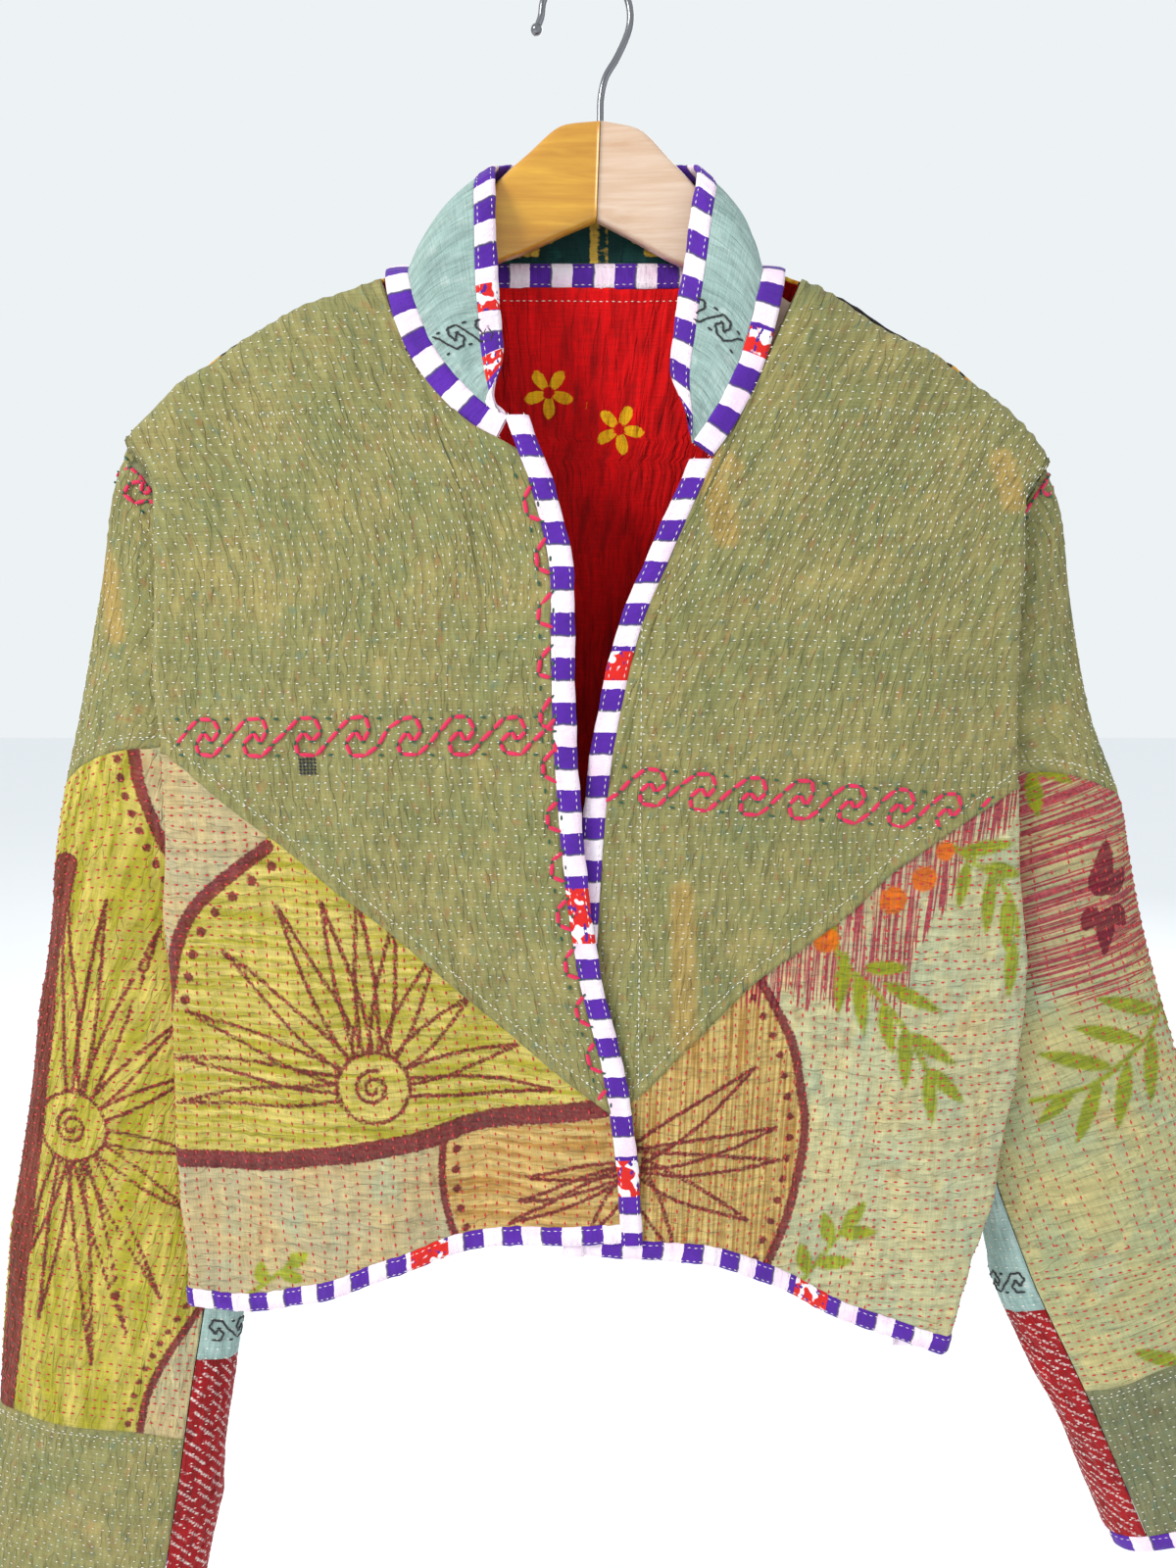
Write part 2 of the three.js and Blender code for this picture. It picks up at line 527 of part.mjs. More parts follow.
function addHanger() {
  const topOfWood = -66;
  const bore = new THREE.CylinderGeometry(HOOK.wire / 2 + GAP, HOOK.wire / 2 + GAP, 40, 12).rotateX(Math.PI / 2);
  bore.translate(HANGER.joint, 0, HANGER.stem - GAP + 20);
  for (const side of [SIDES.l, SIDES.r]) {
    const board = new THREE.ExtrudeGeometry(armOutline(side.sign), {
      depth: HANGER.thick - 2 * HANGER.round, bevelEnabled: true, bevelThickness: HANGER.round,
      bevelSize: HANGER.round, bevelOffset: -HANGER.round, bevelSegments: 3, steps: 1,
    });
    board.rotateX(Math.PI / 2).translate(0, HANGER.thick / 2 - HANGER.round, 0);
    board.translate(side.sign * (GAP / 2), 0, 0).rotateY(HANGER.tilt).translate(HANGER.joint, 0, topOfWood);
    const position = board.attributes.position;
    for (let i = 0; i < position.count; i += 1) {
      position.setY(i, position.getY(i) + ridgeY(position.getX(i) - HANGER.joint));
    }
    add(`hanger_arm_${side.name}`, fromManifold(toManifold(board).subtract(toManifold(bore))), WOOD, 0.35);
  }
}

function addHook() {
  const radius = (HOOK.outside - HOOK.wire) / 2;
  const centre = HOOK.wire / 2 - radius;
  const arc = steps(195, -25, 14).map((degrees) => {
    const angle = THREE.MathUtils.degToRad(degrees);
    const flare = degrees > 180 ? -3 : 0;
    return new THREE.Vector3(radius * Math.cos(angle) + flare, 0, centre + radius * Math.sin(angle));
  });
  const stem = [[14.5, -38], [9.5, -46], [HANGER.joint + 0.3, -55], [HANGER.joint, -64], [HANGER.joint, -80],
    [HANGER.joint, HANGER.stem]].map(([x, z]) => new THREE.Vector3(x, 0, z));
  const path = new THREE.CatmullRomCurve3([...arc, ...stem]);
  const ring = new THREE.Shape().absarc(0, 0, HOOK.wire / 2, 0, 2 * Math.PI);
  const wire = new THREE.ExtrudeGeometry(ring, { steps: 46, extrudePath: path, curveSegments: 5 });
  const ball = new THREE.SphereGeometry(HOOK.ball / 2, 10, 7).translate(arc[0].x, 0, arc[0].z);
  add("hanger_hook", fromManifold(toManifold(wire).add(toManifold(ball))), STEEL, 0.3, 1);
}

addHook();
addHanger();
addFront(SIDES.l);
addFront(SIDES.r);
addBack();
addSleeve(SIDES.l);
addSleeve(SIDES.r);
addCollar();

export default jacket;
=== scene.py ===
"""A kantha jacket on a wooden hanger: its cloth, prints, running stitch and striped bindings."""

import math
from types import SimpleNamespace

import bpy
import numpy as np
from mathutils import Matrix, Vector


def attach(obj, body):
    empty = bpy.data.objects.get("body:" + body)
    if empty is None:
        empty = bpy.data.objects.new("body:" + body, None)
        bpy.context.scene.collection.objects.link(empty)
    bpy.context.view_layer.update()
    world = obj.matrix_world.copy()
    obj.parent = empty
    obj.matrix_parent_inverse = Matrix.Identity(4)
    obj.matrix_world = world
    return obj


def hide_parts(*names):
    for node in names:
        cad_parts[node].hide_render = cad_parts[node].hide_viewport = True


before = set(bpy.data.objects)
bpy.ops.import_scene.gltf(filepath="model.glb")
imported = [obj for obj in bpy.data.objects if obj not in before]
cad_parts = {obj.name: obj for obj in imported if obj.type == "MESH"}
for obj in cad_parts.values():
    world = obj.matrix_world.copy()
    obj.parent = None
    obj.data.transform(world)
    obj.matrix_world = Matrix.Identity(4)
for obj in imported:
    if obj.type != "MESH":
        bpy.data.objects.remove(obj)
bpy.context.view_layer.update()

MM = 0.001

# Sizes in millimetres
CLOTH = 2.0
TAPE_WIDTH = 10.5
FRONT_DEPTH, FRONT_SIDE, BACK_DEPTH, BACK_SIDE, HALF_WIDTH = 52, 38, 10, -4, 215
LEAN = 0.09  # how far the shoulders come forward, as a share of their width
# How the cloth goes over the hanger and falls from it
OVER_ARM, OVER_FALL, FRONT_FALL, BACK_FALL = 10, 10, 200, 160
# The left front's edge lies over the right one's
LAP_LIFT, LAP_SINK, LAP_WIDTH = 4, 2, 60
# Soft folds that grow towards the hem
WAVE_FRONT, WAVE_BACK, WAVE_LENGTH, WAVE_SLANT, WAVE_TOP, WAVE_GROWTH = 5, 6, 150, 0.12, -300, 400
# The side fold of a front panel, from FLAT to TURNED of its way round; FOLD_TIP is in degrees
FLAT, TURNED = 0.84, 0.92
FOLD_RADIUS, FOLD_TIP, FOLD_DROP = 4, 50, 45
# The cloth behind the fold, at the shoulder tip and from the underarm down, and the back's lap on it
ALLOWANCE_TIP, ALLOWANCE, LAPPED, SEWN_FROM, UNDERARM = 3, 24, 4, -330, -428
SEAM_ROOM, BACK_FLAT = 0.5, 115
NECK_SHOULDER, NECK_RIDGE, NECK_BACK, NECK_MID, NECK_Z = 88.5, 95, 76, 52, -139.5

RIDGE = [(-223, -216), (-190, -187), (-156, -164), (-123, -149), (-89, -137.5), (-45, -128), (0, -124),
         (45, -128), (88.5, -136), (144, -163), (187, -189), (225, -226)]
HEM_BACK = [(-190, -670), (-110, -650), (0, -640), (100, -652), (168, -674)]

LEFT = SimpleNamespace(
    name="l", sign=-1, tip=-216, edge_top=-208.5,
    edge=[(-223, -21), (-242, -14), (-287, -5), (-334, -5), (-381, -3), (-429, 1), (-479, 8), (-530, 20),
          (-583, 27), (-617, 29)],
    fold=[(-216, -223), (-241, -210), (-288, -209), (-359, -213), (-434, -214), (-511, -215), (-593, -216),
          (-669, -215)],
    hem=[(-215, -669), (-188, -672), (-144, -661), (-102, -642), (-50, -627), (1, -622), (29, -620)],
    seam=[(-213, -364), (-120, -437), (-40, -506), (30, -563)],
    neck=[(-38.5, -214), (-50, -208), (-73, -184), (-84, -162), (-89, -143)],
    collar_edge=[(-46, -44, -202), (-38, -39, -190), (-37, -33, -168), (-39, -26, -143), (-41, -19, -106),
                 (-42, -8, -88.5), (-40, 7, -83), (-28, 15, -80)],
    sleeve=[(-222, -220, -202, -246, -21, 4), (-231, -242, -200, -276, -19, 6),
            (-241, -288, -196, -318, -17, 8), (-256, -348, -192, -372, -16, 10),
            (-271, -405, -190, -428, -14, 12), (-281, -462, -187, -486, -13, 13),
            (-298, -549, -184, -572, -12.5, 13.5), (-321, -664, -194, -686, -12, 15),
            (-334, -750, -208, -772, -10, 19), (-352, -862, -230, -884, -8, 22)],
    upper=0.357, slant=0.0575, cuff=0.875, back_cuff=0.81, chest=0.62)
RIGHT = SimpleNamespace(
    name="r", sign=1, tip=-226, edge_top=-228,
    edge=[(-238, 44), (-274, 28), (-306, 15), (-334, 8), (-381, 0), (-431, -4), (-630, -12)],
    fold=[(-226, 225), (-246, 212), (-288, 212), (-359, 215), (-434, 221), (-511, 228), (-593, 217),
          (-649, 203), (-693, 194)],
    hem=[(-12, -630), (52, -633), (94, -649), (131, -670), (169, -684), (194, -693)],
    seam=[(-10, -572), (26, -542), (50, -516), (94, -475), (127, -450), (160, -420), (216, -383)],
    neck=[(54, -224), (64, -210), (76, -187), (83, -165), (88, -143)],
    collar_edge=[(44, -43, -208), (38, -38, -188), (40, -32, -163), (44, -26, -138), (49, -19, -106),
                 (52, -8, -89), (48, 7, -83), (30, 15, -80)],
    sleeve=[(223.5, -230, 205, -254, -21, 4), (232, -250, 202, -284, -19, 6), (240, -288, 199, -322, -17, 8),
            (254, -346, 197, -376, -16, 10), (276, -403, 197, -430, -14, 12), (292, -462, 198, -492, -13, 13),
            (318, -543, 206, -580, -12.5, 13.5), (343, -622, 226, -660, -12, 15),
            (376, -705, 266, -745, -10, 19), (413, -796, 309, -839, -8, 22)],
    upper=0.379, slant=0.0585, cuff=0.875, back_cuff=0.81, chest=0.9)


# Lines and curves
def mix(a, b, t):
    return a + (b - a) * t


def smooth(t):
    t = np.clip(t, 0, 1)
    return t * t * (3 - 2 * t)


def bow(t):
    return np.sqrt(1 - (1 - np.clip(t, 0, 1)) ** 2)


def vec(x, y, z):
    return np.stack(np.broadcast_arrays(x, y, z), axis=-1).astype(float)


def unit(v):
    return v / np.maximum(np.linalg.norm(v, axis=-1, keepdims=True), 1e-9)


def curve(points, at):
    """Smooth line through (x, y) points, with no overshoot and straight past its ends."""
    x, y = np.array(sorted(points), float).T
    rise = np.diff(y) / np.diff(x)
    a, b = rise[:-1], rise[1:]
    same = a * b > 0
    slope = np.concatenate([rise[:1], np.where(same, 2 * a * b / np.where(same, a + b, 1), 0), rise[-1:]])
    at = np.asarray(at, float)
    i = np.clip(np.searchsorted(x, at) - 1, 0, len(x) - 2)
    span = x[i + 1] - x[i]
    t = np.clip((at - x[i]) / span, 0, 1)
    inside = (y[i] * (1 + 2 * t) * (1 - t) ** 2 + y[i + 1] * t * t * (3 - 2 * t)
              + span * (slope[i] * t * (1 - t) ** 2 - slope[i + 1] * t * t * (1 - t)))
    return inside + rise[0] * np.minimum(at - x[0], 0) + rise[-1] * np.maximum(at - x[-1], 0)


def through(points):
    """A rounded line through points in space, as a function of t from 0 to 1."""
    p = np.array(points, float)
    p = np.vstack([2 * p[0] - p[1], p, 2 * p[-1] - p[-2]])
    gap = np.sqrt(np.linalg.norm(np.diff(p, axis=0), axis=1))[:, None]

    def at(t):
        t = np.clip(np.asarray(t, float), 0, 1) * (len(p) - 3)
        i = np.minimum(t.astype(int), len(p) - 4)
        t = (t - i)[..., None]
        p0, p1, p2, p3 = p[i], p[i + 1], p[i + 2], p[i + 3]
        g0, g1, g2 = gap[i], gap[i + 1], gap[i + 2]
        m1 = ((p1 - p0) / g0 - (p2 - p0) / (g0 + g1) + (p2 - p1) / g1) * g1
        m2 = ((p2 - p1) / g1 - (p3 - p1) / (g1 + g2) + (p3 - p2) / g2) * g1
        return (p1 * (1 + 2 * t) * (1 - t) ** 2 + p2 * t * t * (3 - 2 * t)
                + m1 * t * (1 - t) ** 2 - m2 * t * t * (1 - t))

    return at


def run_along(points):
    """The length of a line up to each of its points."""
    return np.concatenate([[0], np.cumsum(np.linalg.norm(np.diff(points, axis=0), axis=1))])


SETTLING = 40  # steps that bring a crossing to rest


def crossing(column_x, line_z, start):
    """Height where a panel's column meets a line across it."""
    z = start
    for _ in range(SETTLING):
        z = mix(z, line_z(column_x(z)), 0.5)
    return z


def ridge_z(x):
    return curve(RIDGE, x)


def ridge_y(x):
    return -LEAN * np.abs(x)


def wave(x, z, height):
    grown = height * smooth((WAVE_TOP - z) / WAVE_GROWTH)
    return grown * np.sin(2 * math.pi * (x + z * WAVE_SLANT) / WAVE_LENGTH)


# The garment's surfaces
def front_y(side, x, z):
    full = -FRONT_DEPTH + (FRONT_DEPTH - FRONT_SIDE) * (x / HALF_WIDTH) ** 2
    top = ridge_y(x) - OVER_ARM
    below = ridge_z(x) - z
    near = smooth(1 - x * side.sign / LAP_WIDTH)
    return (ridge_y(x) - OVER_ARM * bow(below / OVER_FALL) + (full - top) * bow(below / FRONT_FALL)
            + near * (-LAP_LIFT if side.sign < 0 else LAP_SINK) + wave(x, z, WAVE_FRONT) * (1 - near))


def front_span(side, z):
    """The front panel's edge beside its binding, and the middle of its side fold."""
    return (curve(side.edge, z) + side.sign * TAPE_WIDTH,
            curve(side.fold, z) - side.sign * (FOLD_RADIUS + CLOTH / 2))


def front(side, u, z):
    """u is 0 at the front edge, FLAT and TURNED at the ends of the side fold, and 1 at the side seam."""
    u, z = np.broadcast_arrays(np.asarray(u, float), np.asarray(z, float))
    s = side.sign
    edge, centre = front_span(side, z)
    x = mix(edge, centre, np.minimum(u / FLAT, 1))
    y = front_y(side, x, z)
    begin = np.arctan(front_y(side, centre, z) - front_y(side, centre - s, z))
    end = mix(math.radians(FOLD_TIP), math.pi, smooth((side.tip - z) / FOLD_DROP))
    angle = mix(begin, end, np.clip((u - FLAT) / (TURNED - FLAT), 0, 1))
    behind = (np.clip((u - TURNED) / (1 - TURNED), 0, 1)
              * mix(ALLOWANCE_TIP, ALLOWANCE, smooth((side.tip - z) / (side.tip - UNDERARM))))
    turned = u > FLAT
    x = x + turned * s * (FOLD_RADIUS * (np.sin(angle) - np.sin(begin)) + behind * np.cos(end))
    y = y + turned * (FOLD_RADIUS * (np.cos(begin) - np.cos(angle)) + behind * np.sin(end))
    return vec(x, y, z)


def seam_x(side, z):
    return front(side, 1, z)[..., 0] + side.sign * LAPPED


def back_y(x, z):
    left = np.asarray(x) < 0
    seam = np.where(left, seam_x(LEFT, z), seam_x(RIGHT, z))
    allowance = np.where(left, front(LEFT, 1, z)[..., 1], front(RIGHT, 1, z)[..., 1])
    joined = smooth((SEWN_FROM - z) / (SEWN_FROM - UNDERARM))
    at_side = mix(BACK_SIDE, allowance + CLOTH + SEAM_ROOM, joined)
    f = smooth((np.abs(x) - BACK_FLAT) / (np.abs(seam) - BACK_FLAT))
    full = mix(BACK_DEPTH + wave(x, z, WAVE_BACK), at_side, f)
    below = ridge_z(x) - z
    top = ridge_y(x) + OVER_ARM
    return ridge_y(x) + OVER_ARM * bow(below / OVER_FALL) + (full - top) * bow(below / BACK_FALL)


def back(u, z):
    u, z = np.broadcast_arrays(np.asarray(u, float), np.asarray(z, float))
    x = mix(seam_x(LEFT, z), seam_x(RIGHT, z), (u + 1) / 2)
    return vec(x, back_y(x, z), z)


def neck_line(side, out):
    """The neck line, moved onto the panels (positive) or up the collar (negative)."""
    line = [*side.neck, (side.sign * NECK_SHOULDER, -135)]
    moved = []
    for i, (x, z) in enumerate(line):
        (ax, az), (bx, bz) = line[max(0, i - 1)], line[min(len(line) - 1, i + 1)]
        length = math.hypot(bx - ax, bz - az)
        moved.append((x + side.sign * out * (bz - az) / length, z - out * abs(bx - ax) / length))
    return moved


def top_z(side, x):
    line = neck_line(side, TAPE_WIDTH / 2)
    low = np.minimum(ridge_z(x), curve(line, x))
    return np.where((x - line[-1][0]) * side.sign >= 0, ridge_z(x), low)


def back_neck(x):
    up = smooth((np.abs(x) - NECK_BACK) / (NECK_RIDGE - NECK_BACK))
    return np.where(np.abs(x) > NECK_RIDGE, ridge_z(x), mix(NECK_Z, ridge_z(np.sign(x) * NECK_RIDGE), up))


def front_cross(side, u, line, start=-500.0):
    u = np.minimum(u, FLAT)
    return crossing(lambda z: front(side, u, z)[..., 0], line, start + 0 * u)


def front_top(side, u):
    return np.where(u >= FLAT, side.tip, front_cross(side, u, lambda x: top_z(side, x), -300.0))


def front_hem(side, u):
    return front_cross(side, u, lambda x: curve(side.hem, x)) + TAPE_WIDTH


def front_seam(side, u):
    return front_cross(side, u, lambda x: curve(side.seam, x))


def back_top(u):
    return crossing(lambda z: back(u, z)[..., 0], back_neck, -250.0 + 0 * u)


def back_hem(u):
    return crossing(lambda z: back(u, z)[..., 0], lambda x: curve(HEM_BACK, x), -600.0 + 0 * u) + TAPE_WIDTH


FREE = 4 / 9  # from here down a sleeve is a closed tube
# How far round from the overarm edge the front half goes, at the armhole, the underarm and the cuff
ARMHOLE_TURN, UNDERARM_TURN, CUFF_TURN = 0.85 * math.pi, 0.93 * math.pi, 0.72 * math.pi
ARMHOLE_LAP_BACK, ARMHOLE_LAP_FRONT, ARMHOLE_ROOM = 1.3, 1.5, 0.3


def sleeve_row(side, v, column):
    return curve([(i / (len(side.sleeve) - 1), row[column]) for i, row in enumerate(side.sleeve)], v)


def squarish(t, power=0.8):
    return np.sign(t) * np.abs(t) ** power


def sleeve_loop(side, v, turn):
    """v runs from the shoulder tip to the cuff; turn is 0 at the overarm edge, positive round the front."""
    across = (1 + squarish(np.cos(turn))) / 2
    outer_x, outer_z, inner_x, inner_z, y, depth = (sleeve_row(side, v, k) for k in range(6))
    return vec(mix(inner_x, outer_x, across), y - depth * squarish(np.sin(turn)),
               mix(inner_z, outer_z, across))


def underarm_turn(v):
    return mix(UNDERARM_TURN, CUFF_TURN, smooth((v - FREE) / 0.4))


def armhole(side, z, on_back):
    if on_back:
        seam = seam_x(side, z)
        return vec(seam + side.sign * ARMHOLE_LAP_BACK, back_y(seam, z), z)
    below_tip = mix(CLOTH, 0, smooth((side.tip - z) / FOLD_DROP))
    p = front(side, 1, z)
    lap = side.sign * (LAPPED + ARMHOLE_LAP_FRONT)
    return p + vec(lap + 0 * z, CLOTH + ARMHOLE_ROOM + 0 * z, -below_tip)


def sleeve(side, on_back, t, v):
    """t runs from the overarm edge to the armhole, and below it to the underarm seam."""
    t, v = np.broadcast_arrays(np.asarray(t, float), np.asarray(v, float))
    seam = underarm_turn(v)
    closed = smooth((v - FREE * 0.8) / (FREE * 0.2))
    end = mix(-ARMHOLE_TURN, seam - 2 * math.pi, closed) if on_back else mix(ARMHOLE_TURN, seam, closed)
    p = sleeve_loop(side, v, t * end)
    z = sleeve_row(side, v, 3)
    pull = armhole(side, z, on_back) - sleeve_loop(side, v, end)
    free = (v < FREE)[..., None]
    p = p + free * pull * ((1 - closed) * smooth((t - 0.3) / 0.7))[..., None]
    if not on_back:
        behind = np.maximum(p[..., 1], armhole(side, p[..., 2], False)[..., 1] + 0.2)
        p[..., 1] = np.where(v < FREE, behind, p[..., 1])
    return p


def slanted(side, t, v):
    """The sleeve's rows climb towards the body where they near the seam under the shoulder."""
    near = np.where(v < side.upper, smooth(v / side.upper),
                    1 - smooth((v - side.upper) / (side.back_cuff - side.upper)))
    return v + side.slant * near * (1 - 2 * t)


def collar_lines():
    """The collar's neck seam and free edge, and the panels' edge below it, from left end to right end."""
    halves = []
    for side in (LEFT, RIGHT):
        s = side.sign
        seam = [(x, float(front_y(side, x, min(z, float(ridge_z(x))))), z)
                for x, z in neck_line(side, -TAPE_WIDTH / 2)]
        seam += [(s * NECK_BACK, 7, -131), (s * NECK_MID, 10, -129)]
        panel = [(x, float(front_y(side, x, z)), z) for x, z in neck_line(side, TAPE_WIDTH / 2)]
        panel += [(s * x, float(back_y(s * x, NECK_Z)), NECK_Z) for x in (NECK_BACK, NECK_MID)]
        halves.append((seam, side.collar_edge, panel))
    middle = [(0, 11, -128.5), (0, 17, -79), (0, float(back_y(0.0, NECK_Z)), NECK_Z)]
    left, right = halves
    return [through([*a, m, *reversed(b)]) for a, m, b in zip(left, middle, right)]


COLLAR_SEAM, COLLAR_EDGE, PANEL_EDGE = collar_lines()
COLLAR_MIDDLE, COLLAR_RISE, COLLAR_BULGE, COLLAR_STAND = (5, -5), 0.6, 6, 60


def collar(u, v):
    """u from -1 at the left front end to 1 at the right one, v from the neck seam to the free edge."""
    u, v = np.broadcast_arrays(np.asarray(u, float), np.asarray(v, float))
    a, b = COLLAR_SEAM((u + 1) / 2), COLLAR_EDGE((u + 1) / 2)
    middle_x, middle_y = COLLAR_MIDDLE
    out = unit(vec(a[..., 0] - middle_x, a[..., 1] - middle_y, 0 * u)) + np.array([0, 0, COLLAR_RISE])
    height = np.linalg.norm(b - a, axis=-1)
    bulge = COLLAR_BULGE * np.sin(math.pi * v) * height / COLLAR_STAND
    return mix(a, b, v[..., None]) + out * bulge[..., None]


# Cloth that puckers between its rows of stitches
class Ripple:
    """A soft uneven relief from -1 to 1 made of many waves, on millimetres across and along the cloth."""

    def __init__(self, seed, across, along, count=18):
        rng = np.random.default_rng(seed)
        self.kx = 2 * math.pi / rng.uniform(*across, count) * rng.choice([-1, 1], count)
        self.ky = 2 * math.pi / rng.uniform(*along, count)
        self.phase = rng.uniform(0, 2 * math.pi, count)

    def __call__(self, a, b):
        total = sum(np.sin(kx * a + ky * b + p) for kx, ky, p in zip(self.kx, self.ky, self.phase))
        return total / math.sqrt(len(self.phase))


SOFT = Ripple(3, (35, 120), (60, 200))
PUCKER_UP = Ripple(5, (6.5, 11), (24, 60), 26)      # crests that run up the cloth, rows run across
PUCKER_ACROSS = Ripple(6, (24, 60), (6.5, 11), 26)  # crests that run across, rows run up


class Sheet:
    """One piece of cloth: its middle surface, its size in millimetres and the way that it faces."""

    def __init__(self, surface, size, facing, steps, pucker, calm, soft=0.9, height=0.34):
        self.surface, self.size, self.pucker, self.steps = surface, size, pucker, steps
        self.soft, self.height = soft, height
        self.facing, self.calm = facing, calm

    def normal(self, a, b):
        da, db = self.steps
        n = np.cross(self.surface(a + da, b) - self.surface(a - da, b),
                     self.surface(a, b + db) - self.surface(a, b - db))
        return unit(n) * self.facing

    def at(self, a, b, lift=0.0):
        a, b = np.broadcast_arrays(np.asarray(a, float), np.asarray(b, float))
        s, l = self.size(a, b)
        n = self.normal(a, b)
        relief = self.calm(a, b) * (self.soft * SOFT(s, l) + self.height * self.pucker(s, l))
        return self.surface(a, b) + n * (relief + lift)[..., None], n


def front_size(side):
    def size(u, z):
        edge, centre = front_span(side, z)
        width = np.abs(centre - edge)
        turned = width + math.pi * FOLD_RADIUS
        s = np.where(u < FLAT, u / FLAT * width,
                     np.where(u < TURNED, mix(width, turned, (u - FLAT) / (TURNED - FLAT)),
                              turned + (u - TURNED) / (1 - TURNED) * ALLOWANCE))
        return side.sign * s, z
    return size


def sleeve_size(side):
    rows = np.array(side.sleeve, float)
    middle = (rows[:, [0, 1]] + rows[:, [2, 3]]) / 2
    run = run_along(middle)
    wide = np.linalg.norm(rows[:, [0, 1]] - rows[:, [2, 3]], axis=1)
    at = np.arange(len(rows)) / (len(rows) - 1)
    side.sleeve_run, side.sleeve_wide = list(zip(at, run)), list(zip(at, wide))

    def size(t, v):
        return side.sign * t * (curve(side.sleeve_wide, v) + 8), -curve(side.sleeve_run, v)
    return size


COLLAR_HALF, COLLAR_HEIGHT = 210, 50


def collar_size(u, v):
    return u * COLLAR_HALF, v * COLLAR_HEIGHT


def calm_front(u, z):
    """The cloth lies flatter where it is sewn to the next piece: at the shoulder and the side."""
    x = mix(0, HALF_WIDTH, np.minimum(u / FLAT, 1))
    return smooth((ridge_z(x) - z) / 18) * smooth((1 - u) / 0.06)


def calm_sleeve(t, v):
    return smooth(t / 0.12) * smooth((1 - t) / 0.12) * smooth((1 - v) / 0.05)


def calm_back(u, z):
    return smooth((ridge_z(u * HALF_WIDTH) - z) / 18) * smooth((1 - np.abs(u)) / 0.08)


def calm_collar(_u, v):
    return smooth(v / 0.2)


# Small steps along each kind of sheet, from which the way that it faces is found
PANEL_STEPS, SLEEVE_STEPS, COLLAR_STEPS = (0.002, 0.2), (0.004, 0.004), (0.004, 0.02)
SHEETS = {}
for side in (LEFT, RIGHT):
    s = side.sign
    SHEETS["front_" + side.name] = Sheet(
        lambda u, z, side=side: front(side, u, z), front_size(side), s, PANEL_STEPS, PUCKER_UP, calm_front)
    for name, on_back, facing, pucker in (("sleeve_", False, s, PUCKER_ACROSS),
                                          ("sleeve_back_", True, -s, PUCKER_UP)):
        SHEETS[name + side.name] = Sheet(
            lambda t, v, side=side, on_back=on_back: sleeve(side, on_back, t, v), sleeve_size(side), facing,
            SLEEVE_STEPS, pucker, calm_sleeve)
SHEETS["back"] = Sheet(back, lambda u, z: (u * 225, z), -1, PANEL_STEPS, PUCKER_UP, calm_back)
SHEETS["collar"] = Sheet(collar, collar_size, -1, COLLAR_STEPS, PUCKER_UP, calm_collar, soft=0.2, height=0.15)


# Meshes
def piece_of(name, points, faces, uv, slots=None, attributes=None):
    """A finished object at the origin, from points in millimetres and lists of faces."""
    mesh = bpy.data.meshes.new(name)
    mesh.from_pydata((np.asarray(points) * MM).tolist(), [], faces)
    mesh.update()
    layer = mesh.uv_layers.new(name="cloth")
    index = np.empty(len(mesh.loops), dtype=np.int32)
    mesh.loops.foreach_get("vertex_index", index)
    layer.data.foreach_set("uv", (np.asarray(uv) * MM)[index].astype(np.float32).ravel())
    for key, values in (attributes or {}).items():
        values = np.asarray(values, np.float32)
        kind, field = ("FLOAT", "value") if values.ndim == 1 else ("FLOAT_VECTOR", "vector")
        mesh.attributes.new(key, kind, "POINT").data.foreach_set(field, values.ravel())
    if slots is not None:
        mesh.polygons.foreach_set("material_index", np.asarray(slots, np.int32))
    mesh.polygons.foreach_set("use_smooth", np.ones(len(mesh.polygons), bool))
    mesh.update()
    made = bpy.data.objects.new(name, mesh)
    bpy.context.scene.collection.objects.link(made)
    return made


def grid_faces(rows, columns, offset=0, flip=False, around=False):
    i, j = np.meshgrid(np.arange(rows - 1), np.arange(columns if around else columns - 1), indexing="ij")
    k = (j + 1) % columns
    quads = np.stack([i * columns + j, i * columns + k, (i + 1) * columns + k, (i + 1) * columns + j], -1)
    quads = quads.reshape(-1, 4) + offset
    return quads[:, ::-1] if flip else quads


def shell(name, sheet, a, b, outside, inside, fields=None, lift=0.0):
    """A wall of cloth over a grid of places on a sheet, with its two faces and its rim.

    fields gives the print's distances from the (x, z) and cloth places of each face."""
    rows, columns = a.shape
    outer, n = sheet.at(a, b, CLOTH / 2 + lift)
    inner, _ = sheet.at(a, b, -CLOTH / 2 + lift)
    s, l = sheet.size(a, b)
    size = rows * columns
    # Which way round the grid turns as seen from outside
    turn = np.cross(outer[0, 1] - outer[0, 0], outer[1, 0] - outer[0, 0])
    flip = np.sum(turn * n[0, 0]) < 0
    faces = [grid_faces(rows, columns, 0, flip), grid_faces(rows, columns, size, not flip)]
    ring = np.concatenate([np.arange(columns), np.arange(1, rows) * columns + columns - 1,
                           (rows - 1) * columns + np.arange(columns - 2, -1, -1),
                           np.arange(rows - 2, 0, -1) * columns])
    after = np.roll(ring, -1)
    rim = np.stack([after, ring, ring + size, after + size], -1)
    faces.append(rim[:, ::-1] if flip else rim)
    slots = np.repeat([0, 1, 0], [len(f) for f in faces])
    points = np.concatenate([outer.reshape(-1, 3), inner.reshape(-1, 3)])
    uv = np.tile(np.stack([s, l], -1).reshape(-1, 2), (2, 1))
    attributes = {}
    if fields:
        for key, value in fields(points[:size][:, [0, 2]], uv[:size]).items():
            attributes[key] = np.concatenate([value, value])
    made = piece_of(name, points, np.concatenate(faces).tolist(), uv, slots, attributes)
    made.data.materials.append(outside)
    made.data.materials.append(inside)
    return made


